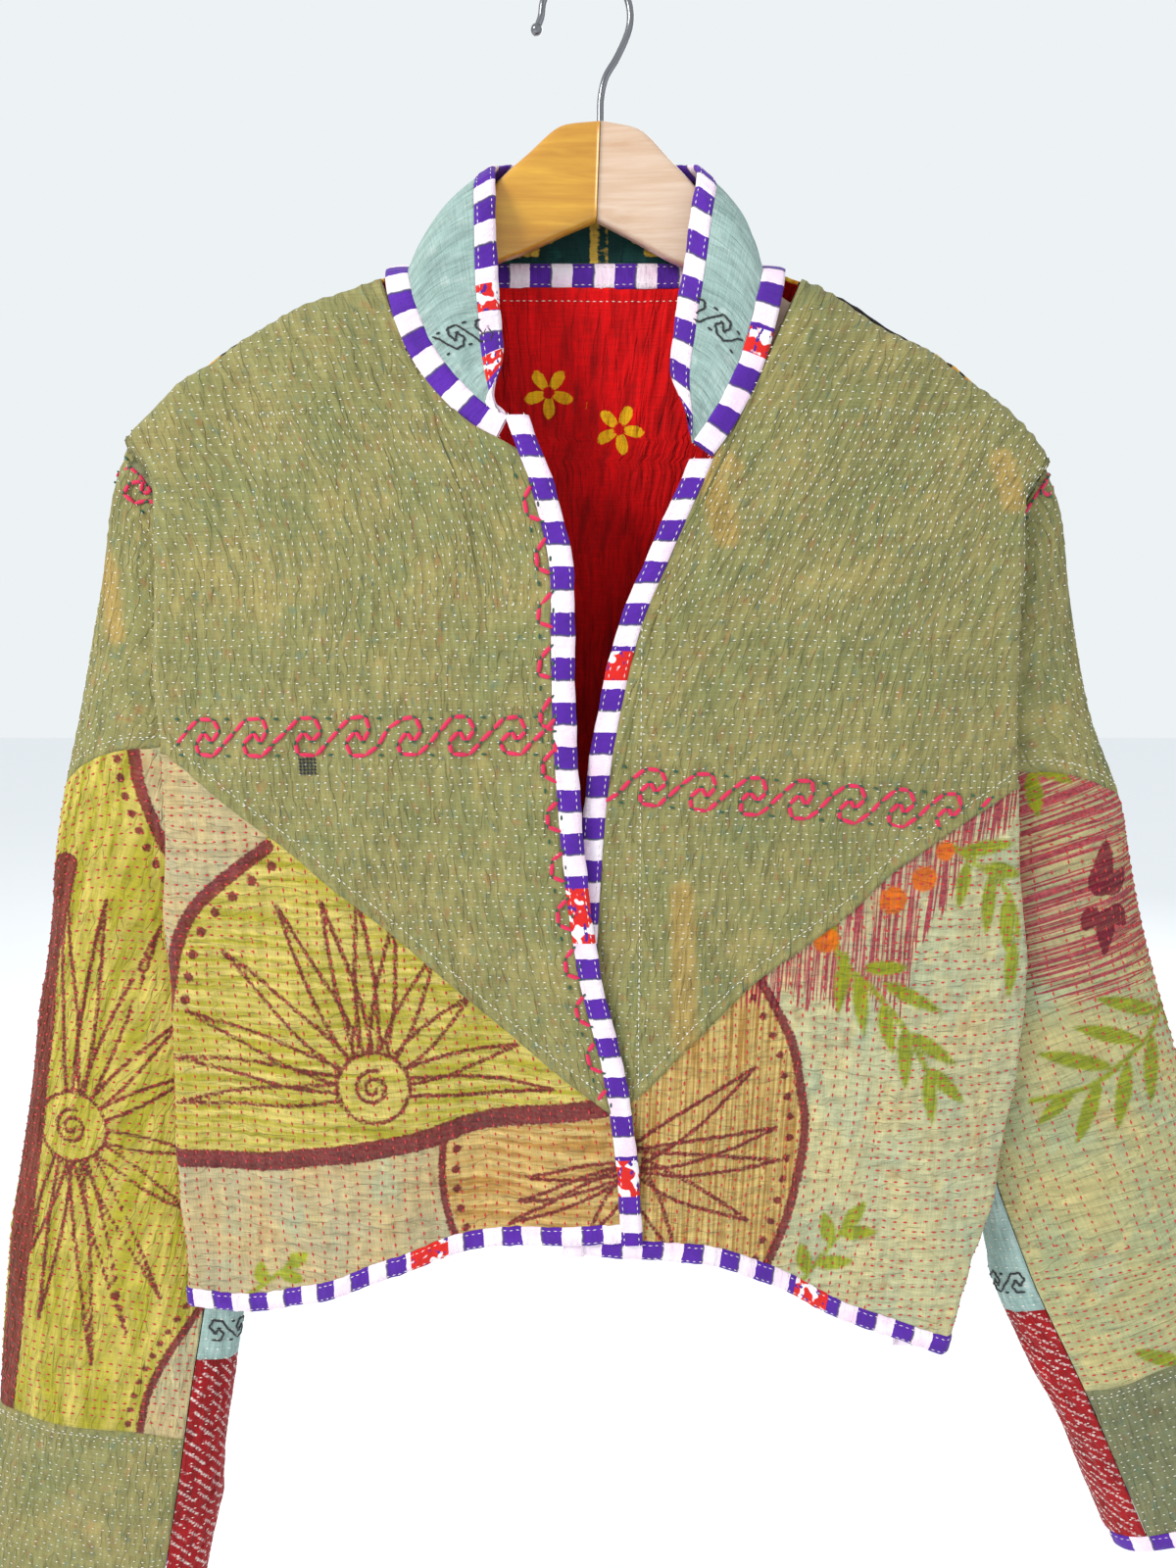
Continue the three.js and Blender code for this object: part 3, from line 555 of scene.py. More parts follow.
def loft(name, rings, material, closed=False, lengths=None):
    """A solid strip or bar, from rings of points along it; lengths are those along it and round it."""
    count, sides, _ = rings.shape
    faces = grid_faces(count + 1 if closed else count, sides, around=True)
    if closed:
        faces %= count * sides
    first = rings[0] - rings[0].mean(0)
    area = np.cross(first, np.roll(first, -1, axis=0)).sum(0)
    flip = np.dot(area, rings[1].mean(0) - rings[0].mean(0)) < 0
    faces = (faces if flip else faces[:, ::-1]).tolist()
    if not closed:
        start, end = list(range(sides)), list(range((count - 1) * sides, count * sides))
        faces += [start, end[::-1]] if flip else [start[::-1], end]
    along, around = lengths or (run_along(rings.mean(1)), run_along(rings[0]))
    uv = np.stack(np.meshgrid(along, around, indexing="ij"), -1)
    made = piece_of(name, rings.reshape(-1, 3), faces, uv.reshape(-1, 2))
    made.data.materials.append(material)
    return made


def mark_flowered(made, chosen, sides):
    """Marks the rings of a tape that are cut from the red flowered cloth."""
    marks = made.data.attributes.new("flowered", "FLOAT", "POINT")
    marks.data.foreach_set("value", np.repeat(chosen, sides).astype(np.float32))


# Nodes
def linear(code):
    """An sRGB hex colour as linear red, green, blue and alpha."""
    channels = [int(code[i:i + 2], 16) / 255 for i in (1, 3, 5)]
    return (*[c / 12.92 if c <= 0.04045 else ((c + 0.055) / 1.055) ** 2.4 for c in channels], 1.0)


def add(tree, kind, inputs=None, **settings):
    """Adds a node with its settings; inputs are hex colours, other values, or sockets to link."""
    made = tree.nodes.new(kind)
    for key, value in settings.items():
        setattr(made, key, value)
    for key, value in (inputs or {}).items():
        if isinstance(value, bpy.types.NodeSocket):
            tree.links.new(value, made.inputs[key])
        else:
            made.inputs[key].default_value = linear(value) if str(value).startswith("#") else value
    return made


def new_material(name, **constants):
    """A material, its node tree and its shader, with constants on the shader's own sockets."""
    made = bpy.data.materials.new(name)
    made.use_nodes = True
    tree = made.node_tree
    shader = tree.nodes["Principled BSDF"]
    for key, value in constants.items():
        shader.inputs[key.replace("_", " ")].default_value = value
    return made, tree, shader


def grain(tree, where, across, along, detail=2.0, lowest=0.35, highest=0.65):
    """Uneven streaks of the given size in millimetres, from 0 to 1."""
    size = (1 / (across * MM), 1 / (along * MM), 1)
    scaled = add(tree, "ShaderNodeMapping", {"Vector": where, "Scale": size})
    noise = add(tree, "ShaderNodeTexNoise", {"Vector": scaled.outputs[0], "Scale": 1.0, "Detail": detail})
    return add(tree, "ShaderNodeMapRange", {"Value": noise.outputs["Fac"], "From Min": lowest,
                                            "From Max": highest}).outputs[0]


PETALS = {"flower": 12.5, "bloom": 17.0}  # each kind of flower's radius in millimetres
PETAL_COUNT, PETAL_FULLNESS, EYE = 5, 0.85, 0.24
# How far the ends of the dyed threads stray, and where their dye is full and gone, in millimetres
DYE_STRAY, DYE_FULL, DYE_GONE = 22.0, 7.5, 9.5
RAGGED = 1.3  # how far a printed edge wanders, in millimetres
FLECKED = 0.55  # the most that a fleck covers


def flower_distance(tree, given, radius):
    """Distance to a flower's outline round its own middle: petals cut apart, and open at the eye."""
    place = add(tree, "ShaderNodeSeparateXYZ", {0: given})
    reach = add(tree, "ShaderNodeVectorMath", {0: given}, operation="LENGTH").outputs["Value"]
    angle = add(tree, "ShaderNodeMath", {0: place.outputs[1], 1: place.outputs[0]}, operation="ARCTAN2")
    lobes = add(tree, "ShaderNodeMath", {0: angle.outputs[0], 1: PETAL_COUNT / 2}, operation="MULTIPLY")
    lobes = add(tree, "ShaderNodeMath", {0: lobes.outputs[0]}, operation="COSINE")
    lobes = add(tree, "ShaderNodeMath", {0: lobes.outputs[0]}, operation="ABSOLUTE")
    lobes = add(tree, "ShaderNodeMath", {0: lobes.outputs[0], 1: PETAL_FULLNESS}, operation="POWER")
    rim = add(tree, "ShaderNodeMath", {0: lobes.outputs[0], 1: -radius, 2: reach}, operation="MULTIPLY_ADD")
    eye = add(tree, "ShaderNodeMath", {0: radius * EYE, 1: reach}, operation="SUBTRACT")
    return add(tree, "ShaderNodeMath", {0: rim.outputs[0], 1: eye.outputs[0]}, operation="MAXIMUM").outputs[0]


def cloth(name, ground, flecks, prints=(), ripple=(4.5, 14), streaks=(3.2, 30), relief=1.25):
    """Worn cotton, several layers quilted together: matt, slubby threads, puckers between the stitches, with
    painted shade in the puckers' hollows.

    prints are (attribute, colour, colour of its streaks, softness in millimetres)."""
    made, tree, shader = new_material(name, Roughness=0.92, Sheen_Weight=0.08, Sheen_Roughness=0.5,
                                      Specular_IOR_Level=0.2)
    uv = add(tree, "ShaderNodeUVMap", uv_map="cloth").outputs[0]
    colour = add(tree, "ShaderNodeMix", {0: grain(tree, uv, 26, 38, 3), 6: ground[0], 7: ground[1]},
                 data_type="RGBA").outputs[2]
    for code, across, along, amount in flecks:
        spots = grain(tree, uv, across, along, 3, 0.66 - amount, 0.76 - amount)
        weak = add(tree, "ShaderNodeMath", {0: spots, 1: FLECKED}, operation="MULTIPLY").outputs[0]
        colour = add(tree, "ShaderNodeMix", {0: weak, 6: colour, 7: code}, data_type="RGBA").outputs[2]
    ragged = grain(tree, uv, 1.8, 1.8, 2, 0.25, 0.75)
    brush = grain(tree, uv, *streaks, 3, 0.40, 0.60)
    for key, code, streak, softness in prints:
        given = add(tree, "ShaderNodeAttribute", attribute_name=key)
        far = given.outputs["Fac"]
        if key in PETALS:
            far = flower_distance(tree, given.outputs["Vector"], PETALS[key])
        if key == "lines":
            # Threads dyed before weaving: they stop at different places and leave the ground between them
            short = add(tree, "ShaderNodeMath", {0: brush, 1: DYE_STRAY, 2: far}, operation="MULTIPLY_ADD")
            mask = add(tree, "ShaderNodeMapRange", {"Value": short.outputs[0], "From Min": DYE_GONE,
                                                    "From Max": DYE_FULL}).outputs[0]
            between = add(tree, "ShaderNodeMapRange", {"Value": brush, "From Min": 0.35, "From Max": 0.8,
                                                       "To Min": 1.0, "To Max": 0.12}).outputs[0]
            mask = add(tree, "ShaderNodeMath", {0: mask, 1: between}, operation="MULTIPLY").outputs[0]
        else:
            edge = add(tree, "ShaderNodeMath", {0: ragged, 1: RAGGED, 2: far}, operation="MULTIPLY_ADD")
            mask = add(tree, "ShaderNodeMapRange", {
                "Value": edge.outputs[0], "From Min": RAGGED / 2 + softness,
                "From Max": RAGGED / 2 - softness}).outputs[0]
        dyed = add(tree, "ShaderNodeMix", {0: ragged if key == "lines" else brush, 6: code, 7: streak},
                   data_type="RGBA").outputs[2]
        worn = add(tree, "ShaderNodeMapRange", {"Value": ragged, "To Min": 0.98, "To Max": 0.84}).outputs[0]
        mask = add(tree, "ShaderNodeMath", {0: mask, 1: worn}, operation="MULTIPLY").outputs[0]
        colour = add(tree, "ShaderNodeMix", {0: mask, 6: colour, 7: dyed}, data_type="RGBA").outputs[2]
    # Slub threads, drawn about twice as coarse as they are so that they show
    warp, weft = grain(tree, uv, 0.8, 9, 2, 0.3, 0.7), grain(tree, uv, 12, 0.8, 2, 0.3, 0.7)
    threads = add(tree, "ShaderNodeMath", {0: warp, 1: weft}, operation="ADD").outputs[0]
    shade = add(tree, "ShaderNodeMapRange", {"Value": threads, "From Max": 2.0, "To Min": 0.74,
                                             "To Max": 1.2}).outputs[0]
    # Puckers: long soft ridges beside the stitches, and a few sharp creases, both bumped and painted: painted
    # shade darkens the colour in their hollows and a painted highlight lightens it a little on the ridges
    folds = grain(tree, uv, *ripple, 1, 0.28, 0.72)
    crease = grain(tree, uv, ripple[0] * 1.7, ripple[1] * 1.9, 2, 0.46, 0.52)
    crease = add(tree, "ShaderNodeMath", {0: crease, 1: 0.5}, operation="PINGPONG").outputs[0]
    deep = add(tree, "ShaderNodeMath", {0: crease, 1: 0.6, 2: folds}, operation="MULTIPLY_ADD").outputs[0]
    # Painted shade: the deeper the pucker or crease, the darker its colour, down to 0.72; the ridges get a
    # faint painted highlight, up to 1.08
    painted_pucker_shade = add(tree, "ShaderNodeMapRange", {"Value": deep, "From Max": 1.3, "To Min": 1.08,
                                           "To Max": 0.72}).outputs[0]
    shade = add(tree, "ShaderNodeMath", {0: shade, 1: painted_pucker_shade}, operation="MULTIPLY").outputs[0]
    lit = add(tree, "ShaderNodeVectorMath", {0: colour, "Scale": shade}, operation="SCALE").outputs[0]
    tree.links.new(lit, shader.inputs["Base Color"])
    coarse = add(tree, "ShaderNodeBump", {"Height": deep, "Distance": relief * MM, "Strength": 1.0},
                 invert=True)
    fine = add(tree, "ShaderNodeBump", {"Height": threads, "Distance": 0.12 * MM, "Strength": 1.0,
                                        "Normal": coarse.outputs[0]})
    tree.links.new(fine.outputs[0], shader.inputs["Normal"])
    return made


def thread(name, code, light):
    """Loosely twisted cotton embroidery thread: a little sheen, shaded along its strands."""
    made, tree, shader = new_material(name, Roughness=0.7, Sheen_Weight=0.25)
    where = add(tree, "ShaderNodeTexCoord").outputs["Object"]
    noise = add(tree, "ShaderNodeTexNoise", {"Vector": where, "Scale": 1 / (2.5 * MM), "Detail": 2.0})
    colour = add(tree, "ShaderNodeMix", {0: noise.outputs["Fac"], 6: code, 7: light}, data_type="RGBA")
    tree.links.new(colour.outputs[2], shader.inputs["Base Color"])
    strands = add(tree, "ShaderNodeTexNoise", {"Vector": where, "Scale": 1 / (0.5 * MM), "Detail": 1.0})
    bump = add(tree, "ShaderNodeBump", {"Height": strands.outputs["Fac"], "Distance": 0.15 * MM})
    tree.links.new(bump.outputs[0], shader.inputs["Normal"])
    return made


STRIPE_PERIOD, STRIPE_WANDER = 21.2, 2.2  # one purple and one white block, and how far their edges wander


def binding_cloth(name):
    """Smooth striped cotton poplin: crisp printed blocks of purple and white, each edged by a dark line."""
    made, tree, shader = new_material(name, Roughness=0.75, Sheen_Weight=0.1, Specular_IOR_Level=0.3)
    uv = add(tree, "ShaderNodeUVMap", uv_map="cloth").outputs[0]
    along = add(tree, "ShaderNodeSeparateXYZ", {0: uv}).outputs[0]
    uneven = grain(tree, uv, 22, 6, 2, 0.0, 1.0)
    shifted = add(tree, "ShaderNodeMath", {0: uneven, 1: STRIPE_WANDER * MM, 2: along},
                  operation="MULTIPLY_ADD").outputs[0]
    turn = add(tree, "ShaderNodeMath", {0: shifted, 1: 1 / (STRIPE_PERIOD * MM)},
               operation="MULTIPLY").outputs[0]
    part = add(tree, "ShaderNodeMath", {0: turn}, operation="FRACT").outputs[0]
    block = add(tree, "ShaderNodeMath", {0: part, 1: 0.5}, operation="GREATER_THAN").outputs[0]
    fade = grain(tree, uv, 30, 12, 2)
    white = add(tree, "ShaderNodeMix", {0: fade, 6: "#F2E6F0", 7: "#ECCFE4"}, data_type="RGBA").outputs[2]
    purple = add(tree, "ShaderNodeMix", {0: fade, 6: "#541A9E", 7: "#47148A"}, data_type="RGBA").outputs[2]
    colour = add(tree, "ShaderNodeMix", {0: block, 6: white, 7: purple}, data_type="RGBA").outputs[2]
    near = add(tree, "ShaderNodeMath", {0: part, 1: 0.5}, operation="PINGPONG").outputs[0]
    rim = add(tree, "ShaderNodeMapRange", {"Value": near, "From Min": 0.016, "From Max": 0.034,
                                           "To Min": 0.85, "To Max": 0.0}).outputs[0]
    colour = add(tree, "ShaderNodeMix", {0: rim, 6: colour, 7: "#3D3F5C"}, data_type="RGBA").outputs[2]
    # The pieces cut from a red flowered stretch of the same cloth
    flowered = add(tree, "ShaderNodeAttribute", attribute_name="flowered").outputs["Fac"]
    petals = grain(tree, uv, 7, 7, 1, 0.54, 0.57)
    red = add(tree, "ShaderNodeMix", {0: petals, 6: "#D31B12", 7: "#F2E9EE"}, data_type="RGBA").outputs[2]
    marks = grain(tree, uv, 5, 3, 2, 0.60, 0.62)
    red = add(tree, "ShaderNodeMix", {0: marks, 6: red, 7: "#4A1B8C"}, data_type="RGBA").outputs[2]
    chosen = add(tree, "ShaderNodeMath", {0: flowered, 1: 0.5}, operation="GREATER_THAN").outputs[0]
    colour = add(tree, "ShaderNodeMix", {0: chosen, 6: colour, 7: red}, data_type="RGBA").outputs[2]
    weave = add(tree, "ShaderNodeMath", {0: grain(tree, uv, 0.7, 5, 1), 1: grain(tree, uv, 5, 0.7, 1)},
                operation="ADD").outputs[0]
    shade = add(tree, "ShaderNodeMapRange", {"Value": weave, "From Max": 2.0, "To Min": 0.93,
                                             "To Max": 1.04}).outputs[0]
    lit = add(tree, "ShaderNodeVectorMath", {0: colour, "Scale": shade}, operation="SCALE").outputs[0]
    tree.links.new(lit, shader.inputs["Base Color"])
    tug = add(tree, "ShaderNodeBump", {"Height": grain(tree, uv, 3.5, 9, 2), "Distance": 0.35 * MM})
    fine = add(tree, "ShaderNodeBump", {"Height": weave, "Distance": 0.05 * MM, "Normal": tug.outputs[0]})
    tree.links.new(fine.outputs[0], shader.inputs["Normal"])
    return made


GRAIN_SIZE, FIBRE_SIZE = (90, 9, 5), (40, 1.2, 1.2)  # millimetres along the arm, through it and up


def wood(name, light, dark):
    """Varnished wood: long brown grain and fine fibres under a clear coat."""
    made, tree, shader = new_material(name, Roughness=0.38, Coat_Weight=0.5, Coat_Roughness=0.22)
    where = add(tree, "ShaderNodeTexCoord").outputs["Object"]
    sizes = [[1 / (size * MM) for size in kind] for kind in (GRAIN_SIZE, FIBRE_SIZE)]
    long = add(tree, "ShaderNodeMapping", {"Vector": where, "Scale": sizes[0]})
    bent = add(tree, "ShaderNodeTexNoise", {"Vector": long.outputs[0], "Scale": 1.0, "Detail": 4.0,
                                            "Distortion": 0.8})
    lines = add(tree, "ShaderNodeMapping", {"Vector": where, "Scale": sizes[1]})
    fibre = add(tree, "ShaderNodeTexNoise", {"Vector": lines.outputs[0], "Scale": 1.0, "Detail": 2.0})
    even = add(tree, "ShaderNodeMapRange", {"Value": bent.outputs["Fac"], "From Min": 0.3, "From Max": 0.7})
    colour = add(tree, "ShaderNodeMix", {0: even.outputs[0], 6: light, 7: dark}, data_type="RGBA").outputs[2]
    weak = add(tree, "ShaderNodeMapRange", {"Value": fibre.outputs["Fac"], "From Min": 0.45, "From Max": 0.8,
                                            "To Max": 0.35})
    colour = add(tree, "ShaderNodeMix", {0: weak.outputs[0], 6: colour, 7: dark}, data_type="RGBA").outputs[2]
    tree.links.new(colour, shader.inputs["Base Color"])
    bump = add(tree, "ShaderNodeBump", {"Height": fibre.outputs["Fac"], "Distance": 0.06 * MM})
    tree.links.new(bump.outputs[0], shader.inputs["Normal"])
    return made


def steel(name):
    """Chromed steel wire: a dark mirror with faint drawing marks along it."""
    made, tree, shader = new_material(name, Metallic=1.0)
    uv = add(tree, "ShaderNodeUVMap", uv_map="cloth").outputs[0]
    marks = grain(tree, uv, 18, 0.6, 2)
    rough = add(tree, "ShaderNodeMapRange", {"Value": marks, "To Min": 0.12, "To Max": 0.24})
    tree.links.new(rough.outputs[0], shader.inputs["Roughness"])
    colour = add(tree, "ShaderNodeMix", {0: marks, 6: "#8E8F93", 7: "#6F7074"}, data_type="RGBA")
    tree.links.new(colour.outputs[2], shader.inputs["Base Color"])
    return made


# Prints, as distances in millimetres to each motif's outline, negative inside it
def dense(points, per=6):
    """A rounded flat line through points."""
    flat = [(x, z, 0.0) for x, z in points]
    return through(flat)(np.linspace(0, 1, per * (len(points) - 1) + 1))[:, :2]


def stroke(at, line, half):
    a, b = line[:-1], line[1:]
    way = b - a
    long = np.maximum((way ** 2).sum(-1), 1e-9)
    best = np.full(len(at), 1e9)
    for start, step, length in zip(a, way, long):
        t = np.clip(((at - start) @ step) / length, 0, 1)
        best = np.minimum(best, np.linalg.norm(at - start - t[:, None] * step, axis=1))
    return best - half


def dot(at, centre, radius):
    return np.linalg.norm(at - np.array(centre), axis=1) - radius


def leaf(at, base, tip, half):
    base, tip = np.array(base, float), np.array(tip, float)
    length = np.linalg.norm(tip - base)
    way = (tip - base) / length
    along = (at - base) @ way
    off = np.abs((at - base) @ np.array([-way[1], way[0]]))
    t = np.clip(along / length, 0, 1)
    return np.maximum(off - half * np.sin(math.pi * t ** 0.8) ** 0.8, np.maximum(-along, along - length))


def spray(at, base, tip, count, length, half=4.2):
    """A stem with leaves on both sides."""
    base, tip = np.array(base, float), np.array(tip, float)
    way = (tip - base) / np.linalg.norm(tip - base)
    side = np.array([-way[1], way[0]])
    found = stroke(at, np.array([base, tip]), 1.3)
    for i in range(count):
        start = mix(base, tip, (i + 0.4) / count)
        for hand, late in ((1, 0.0), (-1, 0.35)):
            root = start + (tip - base) * late / count
            found = np.minimum(found, leaf(at, root, root + length * (0.66 * way + 0.75 * hand * side), half))
    return np.minimum(found, leaf(at, tip - 2 * way, tip + 0.9 * length * way, half))


LINE = 1.05


def sun(at, centre, radius, tips, half=4.6, closed=True):
    """An outlined disc with a coil inside it and long pointed rays round it."""
    centre = np.array(centre, float)
    turn = np.linspace(0, 2 * math.pi, 40)
    found = np.full(len(at), 1e9)
    if closed:
        found = stroke(at, centre + radius * np.stack([np.cos(turn), np.sin(turn)], -1), LINE)
    turn = np.linspace(0, 3.6 * math.pi, 44)
    coil = (0.1 + 0.42 * turn / turn[-1])[:, None] * radius * np.stack([np.cos(turn), -np.sin(turn)], -1)
    found = np.minimum(found, stroke(at, centre + coil, LINE))
    for tip in tips:
        tip = np.array(tip, float)
        way = unit(tip - centre)
        side = np.array([-way[1], way[0]])
        reach = np.linalg.norm(tip - centre) - radius
        for hand in (-1, 1):
            root = centre + radius * way
            edge = [root + hand * half * side, root + 0.35 * reach * way + hand * half * 1.15 * side,
                    root + 0.72 * reach * way + hand * half * 0.62 * side, tip]
            found = np.minimum(found, stroke(at, dense(edge, 4), LINE))
    return found


def beads(at, line, inset, radius, gap=13.0):
    """Round spots in a row beside a line."""
    way = unit(np.gradient(line, axis=0))
    beside = line + inset * np.stack([-way[:, 1], way[:, 0]], -1)
    run = run_along(beside)
    found = np.full(len(at), 1e9)
    for length in np.arange(gap / 2, run[-1], gap):
        centre = [np.interp(length, run, beside[:, k]) for k in (0, 1)]
        found = np.minimum(found, dot(at, centre, radius))
    return found


def least(*fields):
    return np.minimum.reduce(fields)


def print_front_left(at, _uv):
    arc = dense([(-216, -500), (-212, -484), (-208, -468), (-199, -449), (-184, -434), (-158, -414)])
    band = dense([(-224, -583), (-176, -583), (-136, -576), (-85, -566), (-39, -553), (30, -543)])
    tail = dense([(-73, -566), (-74, -588), (-71, -610), (-65, -630)])
    under = at[:, 1] - np.interp(at[:, 0], band[:, 0], band[:, 1])
    tips = [(-213, -552), (-214, -527), (-206, -502), (-184, -469), (-155, -444), (-131, -440), (-113, -438),
            (-95, -448), (-75, -466), (-57, -488), (-34, -514), (-16, -536)]
    rays = np.maximum(sun(at, (-108, -538), 18.5, tips), -(under - 3))
    thin = sun(at, (26, -577), 8, [(-35, -600), (-40, -613), (0, -618), (-30, -585)], 3.4)
    inside_tail = -(at[:, 0] - np.interp(at[:, 1], [-632, -592, -565], [-62, -74, -73]))
    ink = least(stroke(at, arc, 3.6), stroke(at, band, 5.2), np.maximum(stroke(at, tail, 1.9), under),
                np.maximum(np.maximum(thin, under + 6), inside_tail), np.maximum(rays, -under + 2),
                beads(at, arc, -9, 2.7), np.maximum(beads(at, tail, 7, 2.3, 11), under + 6))
    beyond_arc = at[:, 0] - np.interp(at[:, 1], arc[:, 1], arc[:, 0])
    lime = np.where(beyond_arc > 0, -stroke(at, arc, 0), 9.0)
    lime = np.maximum(lime, -(under - 4))
    tan = np.maximum(under + 5, inside_tail)
    return {"ink": ink, "lime": lime, "gold": tan, "leaf": spray(at, (-184, -664), (-156, -640), 1, 15)}


def print_front_right(at, _uv):
    arc = dense([(80, -462), (88, -482), (95, -495), (105, -516), (110, -540), (113, -561), (110, -588),
                 (103, -616), (92, -645)])
    side = at[:, 0] - np.interp(at[:, 1], arc[::-1, 1], arc[::-1, 0])
    tips = [(86, -528), (98, -562), (100, -580), (84, -612), (46, -628)]
    ink = least(stroke(at, arc, 2.4), beads(at, arc, -7.5, 2.1, 11.5),
                np.maximum(sun(at, (22, -577), 5, tips, 5.2, False), side + 10))
    stem = dense([(122, -448), (128, -473), (143, -485), (151, -495), (161, -507), (169, -521),
                  (175, -532)], 2)
    other = dense([(182, -414), (196, -424), (208, -433), (216, -446), (219, -462)], 2)
    blades = [((139, -475), (163, -476)), ((130, -467), (127, -500)), ((136, -477), (141, -512)),
              ((149, -495), (156, -521)), ((149, -483), (182, -501)), ((161, -506), (163, -541)),
              ((164, -510), (190, -529)), ((174, -530), (178, -560)), ((175, -529), (195, -550)),
              ((200, -424), (220, -431)), ((203, -429), (202, -461)), ((190, -422), (186, -446)),
              ((212, -441), (214, -472)), ((217, -464), (216, -494)), ((185, -417), (216, -413))]
    leaves = least(stroke(at, stem, 1.6), stroke(at, other, 1.6), *[leaf(at, a, b, 3.9) for a, b in blades],
                   spray(at, (112, -652), (136, -618), 2, 20, 4.2))
    ragged = [(84, -488), (100, -489), (124, -490), (149, -492), (162, -496), (165, -462), (179, -439),
              (190, -421), (210, -399), (222, -392)]
    above = np.interp(at[:, 0], *np.array(ragged).T) - at[:, 1]
    strips = np.maximum(above, 86 - at[:, 0])
    spots = least(*[dot(at, centre, radius) for centre, radius in (
        ((168, -430), 6.4), ((153, -441), 7), ((120, -461), 6.5), ((178, -416), 5))])
    return {"ink": ink, "gold": side, "leaf": leaves, "lines": strips, "spot": spots}


def print_sleeve_left(at, _uv):
    arc = dense([(-232, -338), (-229, -353), (-227, -368), (-226, -383), (-222, -398), (-217, -413),
                 (-205, -436)])
    low = dense([(-205, -668), (-220, -689), (-232, -707), (-245, -734), (-252, -775)])
    strip = dense([(-268, -428), (-281, -476), (-288, -516), (-297, -571), (-307, -628), (-317, -686),
                   (-330, -758)])
    tips = [(-247, -446), (-220, -460), (-212, -511), (-206, -541), (-206, -588), (-213, -622), (-232, -669),
            (-253, -692), (-273, -710), (-301, -683), (-304, -645), (-268, -440)]
    edge = at[:, 0] - np.interp(at[:, 1], strip[::-1, 1], strip[::-1, 0])
    rays = np.maximum(sun(at, (-274, -571), 19, tips, 3.6), -edge + 2)
    ink = least(rays, stroke(at, strip, 6.5), stroke(at, arc, 3.2), beads(at, arc, -9, 2.4, 9.5),
                stroke(at, low, 2.2), beads(at, low, -7, 2.0, 9))
    right_of_arc = np.where(at[:, 1] > -436, at[:, 0] - np.interp(at[:, 1], arc[::-1, 1], arc[::-1, 0]), -9.0)
    right_of_low = np.where(at[:, 1] < -668, at[:, 0] - np.interp(at[:, 1], low[::-1, 1], low[::-1, 0]), -9.0)
    return {"ink": ink, "lime": np.maximum(right_of_arc, right_of_low)}


def print_sleeve_right(at, _uv):
    petals = least(*[leaf(at, a, b, 5.4) for a, b in (
        ((267, -444), (259, -430)), ((266, -440), (266, -414)), ((269, -444), (278, -430)),
        ((263, -450), (256, -462)), ((270, -450), (281, -460)), ((268, -450), (269, -476)))])
    stem = dense([(308, -486), (306, -495), (300, -516), (286, -533), (266, -549), (236, -556)], 2)
    blades = [((303, -508), (266, -499)), ((294, -524), (255, -515)), ((279, -538), (236, -529)),
              ((299, -520), (301, -559)), ((287, -534), (283, -573)), ((272, -545), (262, -582)),
              ((258, -551), (240, -570)), ((221, -371), (246, -385)), ((224, -379), (230, -403)),
              ((306, -500), (318, -528)), ((226, -690), (262, -704)), ((300, -700), (336, -712))]
    leaves = least(stroke(at, stem, 1.6), *[leaf(at, a, b, 4.4) for a, b in blades])
    edge = [(205, -478), (228, -486), (257, -502), (283, -496), (297, -482), (320, -470)]
    return {"ink": petals, "lines": np.interp(at[:, 0], *np.array(edge).T) - at[:, 1], "leaf": leaves}


FLOWER_CLEAR, CLEAR_RISE = 18, 6


def round_nearest(at, centres):
    """Each place as seen from the middle of the nearest flower, every flower turned its own way.

    The third part is 0 over a flower and grows beyond it, so that the line between two stays clear."""
    centres = np.array(centres, float)
    away = at[:, None, :] - centres[None]
    nearest = np.argmin((away ** 2).sum(-1), axis=1)
    x, z = away[np.arange(len(at)), nearest].T
    turn = 0.3 + nearest * 1.1
    beyond = np.maximum(np.hypot(x, z) - FLOWER_CLEAR, 0) * CLEAR_RISE
    return vec(x * np.cos(turn) - z * np.sin(turn), x * np.sin(turn) + z * np.cos(turn), beyond)


def lattice(spacing, x_range, z_range):
    rows = np.arange(z_range[0], z_range[1], spacing)
    return [(x + (spacing / 2 if i % 2 else 0), z) for i, z in enumerate(rows)
            for x in np.arange(x_range[0], x_range[1], spacing)]


def print_back(at, _uv):
    """Yellow flowers on the red inside, and bold orange ones among small diamonds on the black outside."""
    inside = [(-19, -190), (17, -208), (-112, -232), (118, -240), *lattice(66, (-180, 190), (-660, -345))]
    spacing, diamond = 46, 5
    outside = lattice(spacing, (-215, 235), (-690, -130))
    diamonds = least(*[np.abs(at[:, 0] - x - spacing / 2) + np.abs(at[:, 1] - z) - diamond
                       for x, z in outside])
    return {"flower": round_nearest(at, inside), "bloom": round_nearest(at, outside), "diamonds": diamonds}


def print_collar(at, _uv):
    """Crosses in a row, each with a smaller one inside it, and pairs of upright bars between them."""
    level, middles = -105, (-84, -30, 36, 90)
    cross = least(*[stepped_cross(at, (x, level), 4.4) for x in middles])
    heart = least(*[stepped_cross(at, (x, level), 1.7) for x in middles])
    bars = least(*[np.abs(at[:, 0] - x - away) - half for x in (-60, 4, 62)
                   for away, half in ((0, 2), (6, 0.8))])
    return {"cross": cross, "heart": heart, "bars": bars}


def print_strokes(_at, uv):
    """Short slanting white strokes, as from a dry brush."""
    row_gap, stroke_gap, half_width, half_length = 6.4, 21, 0.9, 8.0
    slant = (uv[:, 0] * 0.9 + uv[:, 1]) / row_gap
    row = np.floor(slant)
    along = (uv[:, 0] - uv[:, 1] * 0.4 + 7.3 * row) % stroke_gap - stroke_gap / 2
    across = np.abs(slant - row - 0.5) * row_gap
    return {"strokes": np.maximum(across - half_width, np.abs(along) - half_length)}


